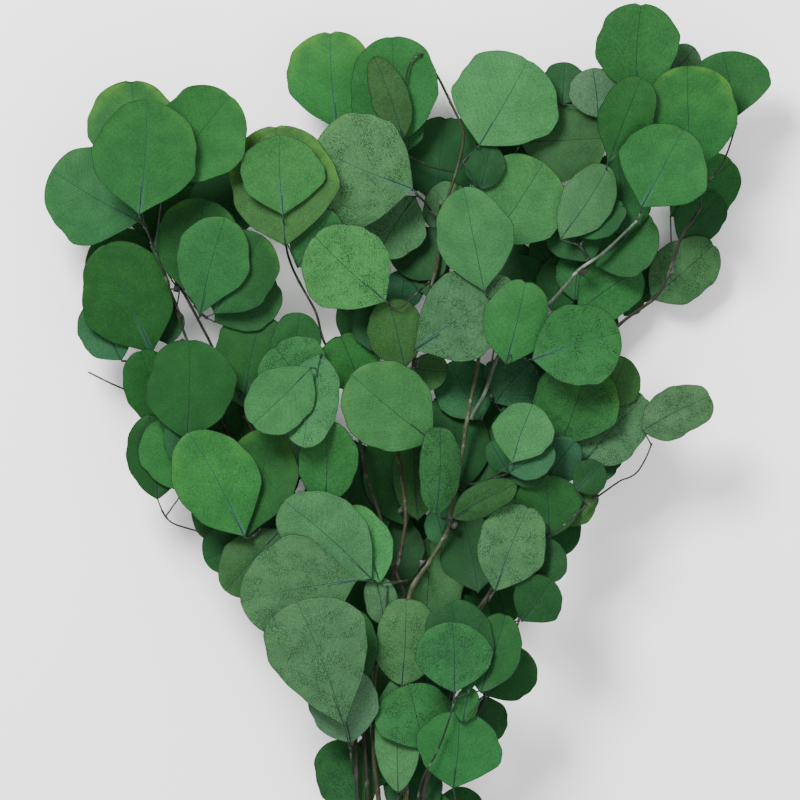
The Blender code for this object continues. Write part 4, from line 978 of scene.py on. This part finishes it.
def makeLeaf(name, row, material):
    leaf, number, side = row[:3]
    baseX, baseY, tipX, tipY, width, words = leaf
    shape, toneWord = words.split()[:2]
    rows, columns = leafLook["rows along a leaf"], leafLook["columns across a leaf"]
    bpy.ops.mesh.primitive_grid_add(x_subdivisions=rows, y_subdivisions=columns, size=2)
    made = bpy.context.view_layer.objects.active
    made.name = name
    mesh = made.data
    grid = placesOf(mesh)
    count = len(grid)
    s = 0.5 - 0.5 * np.cos(math.pi * (np.clip(grid[:, 0], -1, 1) + 1) / 2)
    v = np.sign(grid[:, 1]) * np.abs(grid[:, 1]) ** 1.15
    hand = np.where(v > 0, 1.0, -1.0)
    random = np.random.default_rng(100 + number)
    phase = random.uniform(0, 2 * math.pi, 8)

    # The outline waves, is drawn in at the base and notched at the tip, and the midrib bends
    wave = (np.sin(7.0 * s + phase[0] + 2.1 * hand) + 0.6 * np.sin(13.0 * s + phase[1] + 1.3 * hand)
            + 0.35 * np.sin(29.0 * s + phase[2] + hand)) * leafLook["edge wave"]
    drawn = 1 - leafLook["drawn base"] * np.exp(-s / leafLook["drawn base length"])
    reach = v * drawn * (1 + wave + leafLook["lopsided"] * hand * math.sin(phase[3]))
    ends = toMetres([(baseX, baseY), (tipX, tipY)])
    length = np.linalg.norm(ends[1] - ends[0])
    heading = (ends[1] - ends[0]) / length
    bend = leafLook["midrib bend"] * length * math.sin(phase[4]) * np.sin(math.pi * s)
    half = halfWidth(shape, s) * width * pixel
    notch = leafLook["tip notch"] * max(0.0, math.sin(phase[2])) * np.exp(
        -(reach * half / leafLook["tip notch width"]) ** 2)
    ripple = leafLook["ripple"] * (v ** 2 * np.sin(9.0 * s + phase[5] + 1.7 * hand)
                                   + 0.8 * np.sin(5.0 * s + phase[6]) * np.sin(2.4 * v + phase[7]))
    nearRib = np.exp(-(reach * half / leafLook["midrib crease width"]) ** 2)
    crease = leafLook["midrib crease"] * nearRib * np.sqrt(np.clip(np.sin(math.pi * s), 0, 1))
    points = leafPoints(row, s, reach)
    points[:, :2] += np.outer(bend, leftOf(heading)) - np.outer(notch * s ** 12, heading)
    points[:, 2] += side * (ripple - crease)
    mesh.vertices.foreach_set("co", placed(points).ravel())

    # Where each point lies on the leaf, in millimetres: from the midrib, from the base and from the edge
    before, after = np.clip(s - 0.002, 0, 1), np.clip(s + 0.002, 0, 1)
    slope = (halfWidth(shape, after) - halfWidth(shape, before)) / (after - before) * width * pixel / length
    edge = (1 - np.abs(v)) * half / np.sqrt(1 + (v * slope) ** 2)
    store(mesh, "leafPlace", "FLOAT_VECTOR", np.column_stack([reach * half, s * length, edge]) * 1000)
    marks = [1.0 if word in words else least + more * random.uniform()
             for word, (least, more) in leafMarks.items()]
    store(mesh, "leafMarks", "FLOAT_VECTOR", np.tile(marks, count))
    store(mesh, "leafSeed", "FLOAT", np.full(count, 13.7 * number))
    spread = leafLook["tone spread"]
    tone = np.array(leafTones[toneWord]) * (1 + spread * random.uniform(-1, 1, 3))
    tone = tone * (1 + spread * random.uniform(-1, 1))
    store(mesh, "leafColour", "FLOAT_COLOR", np.tile([*tone, 1.0], count))
    mesh.materials.clear()
    mesh.materials.append(material)

    work = bmesh.new()
    work.from_mesh(mesh)
    bmesh.ops.remove_doubles(work, verts=work.verts, dist=0.000002)
    work.to_mesh(mesh)
    work.free()
    solid = made.modifiers.new("thickness", "SOLIDIFY")
    solid.thickness = leafLook["thickness"]
    solid.offset = 0.0
    choose(made)
    bpy.ops.object.modifier_apply(modifier="thickness")
    work = bmesh.new()
    work.from_mesh(mesh)
    if work.calc_volume(signed=True) < 0:
        bmesh.ops.reverse_faces(work, faces=work.faces)
    work.to_mesh(mesh)
    work.free()
    return made


def makePetiole(name, row, material):
    s = np.array([0.0, 0.03, 0.07, 0.12, 0.18, 0.26])
    rib = leafPoints(row, s, np.zeros(len(s)))
    rib[:, 2] += 0.00006
    stalk = smoothed(evenly(np.vstack([row[5][:-1], rib[:1]]), 0.0011), 6)
    widths = np.linspace(1.15, 0.85, len(stalk))
    widths[:3] *= (1.25, 1.12, 1.04)
    widths[-3:] *= (1.06, 1.20, 1.40)
    widths = np.append(widths, (0.85, 0.66, 0.52, 0.42, 0.25)) * stalkLook["petiole radius"]
    return makeTube(name, placed(np.vstack([stalk, rib[1:]])), widths, 2, material)


def makeTwig(name, route, joints, material):
    line = smoothed(evenly(route, 0.0012), 8)
    widths = np.linspace(1.0, 0.72, len(line)) * stalkLook["twig radius"]
    for joint in joints:
        away = np.linalg.norm(line[:, :2] - joint[:2], axis=1)
        widths *= 1 + stalkLook["joint swelling"] * np.exp(-(away / stalkLook["joint reach"]) ** 2)
    return makeTube(name, placed(line), widths, 2, material, placed(np.array(joints)))


def joined(name, parts):
    choose(*parts)
    if len(parts) > 1:
        bpy.ops.object.join()
    piece = bpy.context.view_layer.objects.active
    piece.name = name
    piece.data.name = name
    for face in piece.data.polygons:
        face.use_smooth = True
    piece.data.set_sharp_from_angle(angle=math.radians(leafLook["sharp rim"]))
    return piece


def addLight(name):
    lamp = bpy.data.lights.new(name, "AREA")
    lamp.energy = lightLook[f"{name} power"]
    lamp.size = lightLook[f"{name} size"]
    holder = linked(name, lamp)
    place = lightLook[f"{name} place"]
    holder.location = place
    aim = np.array(lightLook["aimed at"]) - np.array(place)
    flatReach = math.hypot(aim[0], aim[1])
    holder.rotation_euler = (math.atan2(flatReach, -aim[2]), 0.0, math.atan2(aim[1], aim[0]) - math.pi / 2)
    holder.visible_camera = False


# Where every stem, twig and leaf lies, and the plane that the branch rests on
axes = layStems()
laid = laySprigs(axes)
down = np.array([0, 0, -1])
outline = [points[bends] + down * radii[bends][:, None] for points, radii, bends in axes.values()]
outline += [route + down * twigRadius for sprig in laid.values() for route in sprig["twigs"]]
blades = np.vstack([leafCorners(row) for sprig in laid.values() for row in sprig["leaves"]])
everything = np.vstack(outline + [blades])
restHeight, restSlopes = restPlane(everything, blades[:, :2].mean(axis=0))
shift = (everything[:, :2].min(axis=0) + everything[:, :2].max(axis=0)) / 2
print("plan laid")

leafMaterial = makeLeafMaterial(makeVeinGroup())
petioleMaterial = makeBark("petiole", stalkLook["petiole colour"], 0.10, 1.6)
twigMaterial = makeBark("twig", stalkLook["twig colour"], 0.25, 1.2)

for stem, (points, radii, bends) in axes.items():
    colour, bloom = stemLook[stem]
    bark = makeBark(f"{stem}Bark", colour, bloom, 1.0)
    line = smoothed(points, 6)
    widths = radii.copy()
    random = np.random.default_rng(len(stem))
    for node in range(int(random.integers(*nodeLook["first"])), len(line) - 3, nodeLook["spacing"]):
        away = (np.arange(len(line)) - node) / nodeLook["reach"]
        widths *= 1 + nodeLook["swelling"] * np.exp(-away ** 2)
    forks = [other[0][0] for name, other in axes.items() if name != stem]
    forks += [sprig["twigs"][0][0] for sprig in laid.values()]
    tube = makeTube(stem, placed(line), widths, 4, bark, placed(np.array(forks)))
    piece = joined(f"{stem}Piece", [tube])
    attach(piece, "root")
    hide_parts(stem)
print("stems made")

for name, sprig in laid.items():
    parts = []
    for index, row in enumerate(sprig["leaves"]):
        parts.append(makeLeaf(f"{name}Leaf{index}", row, leafMaterial))
    for index, row in enumerate(sprig["leaves"]):
        parts.append(makePetiole(f"{name}Petiole{index}", row, petioleMaterial))
    joints = [row[5][0] for row in sprig["leaves"]]
    for index, route in enumerate(sprig["twigs"]):
        parts.append(makeTwig(f"{name}Twig{index}", route, joints, twigMaterial))
    piece = joined(f"{name}Piece", parts)
    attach(piece, "root")
    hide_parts(name)
print("sprigs made")

bpy.ops.mesh.primitive_plane_add(size=14)
floor = bpy.context.view_layer.objects.active
floor.name = "floor"
paper, _, paperShader = newMaterial("paper", 0.9, 0.1)
paperShader.inputs["Base Color"].default_value = (*[lightLook["floor"]] * 3, 1.0)
floor.data.materials.append(paper)

world = bpy.data.worlds.new("softSky")
bpy.context.scene.world = world
world.use_nodes = True
background = world.node_tree.nodes["Background"]
background.inputs["Color"].default_value = (1.0, 1.0, 1.0, 1.0)
background.inputs["Strength"].default_value = lightLook["sky"]
addLight("key")
addLight("fill")

# The camera looks straight down, with the photograph's framing at the branch's middle height
cameraHeight = 6.0
middleHeight = 0.045
camera = bpy.data.cameras.new("camera")
camera.sensor_width = 36.0
camera.lens = camera.sensor_width * (cameraHeight - middleHeight) / photoWidth
camera.clip_end = 100.0
viewer = linked("camera", camera)
viewer.location = (-shift[0], photoWidth / 2 - shift[1], cameraHeight)
viewer.rotation_euler = (0.0, 0.0, 0.0)
bpy.context.scene.camera = viewer
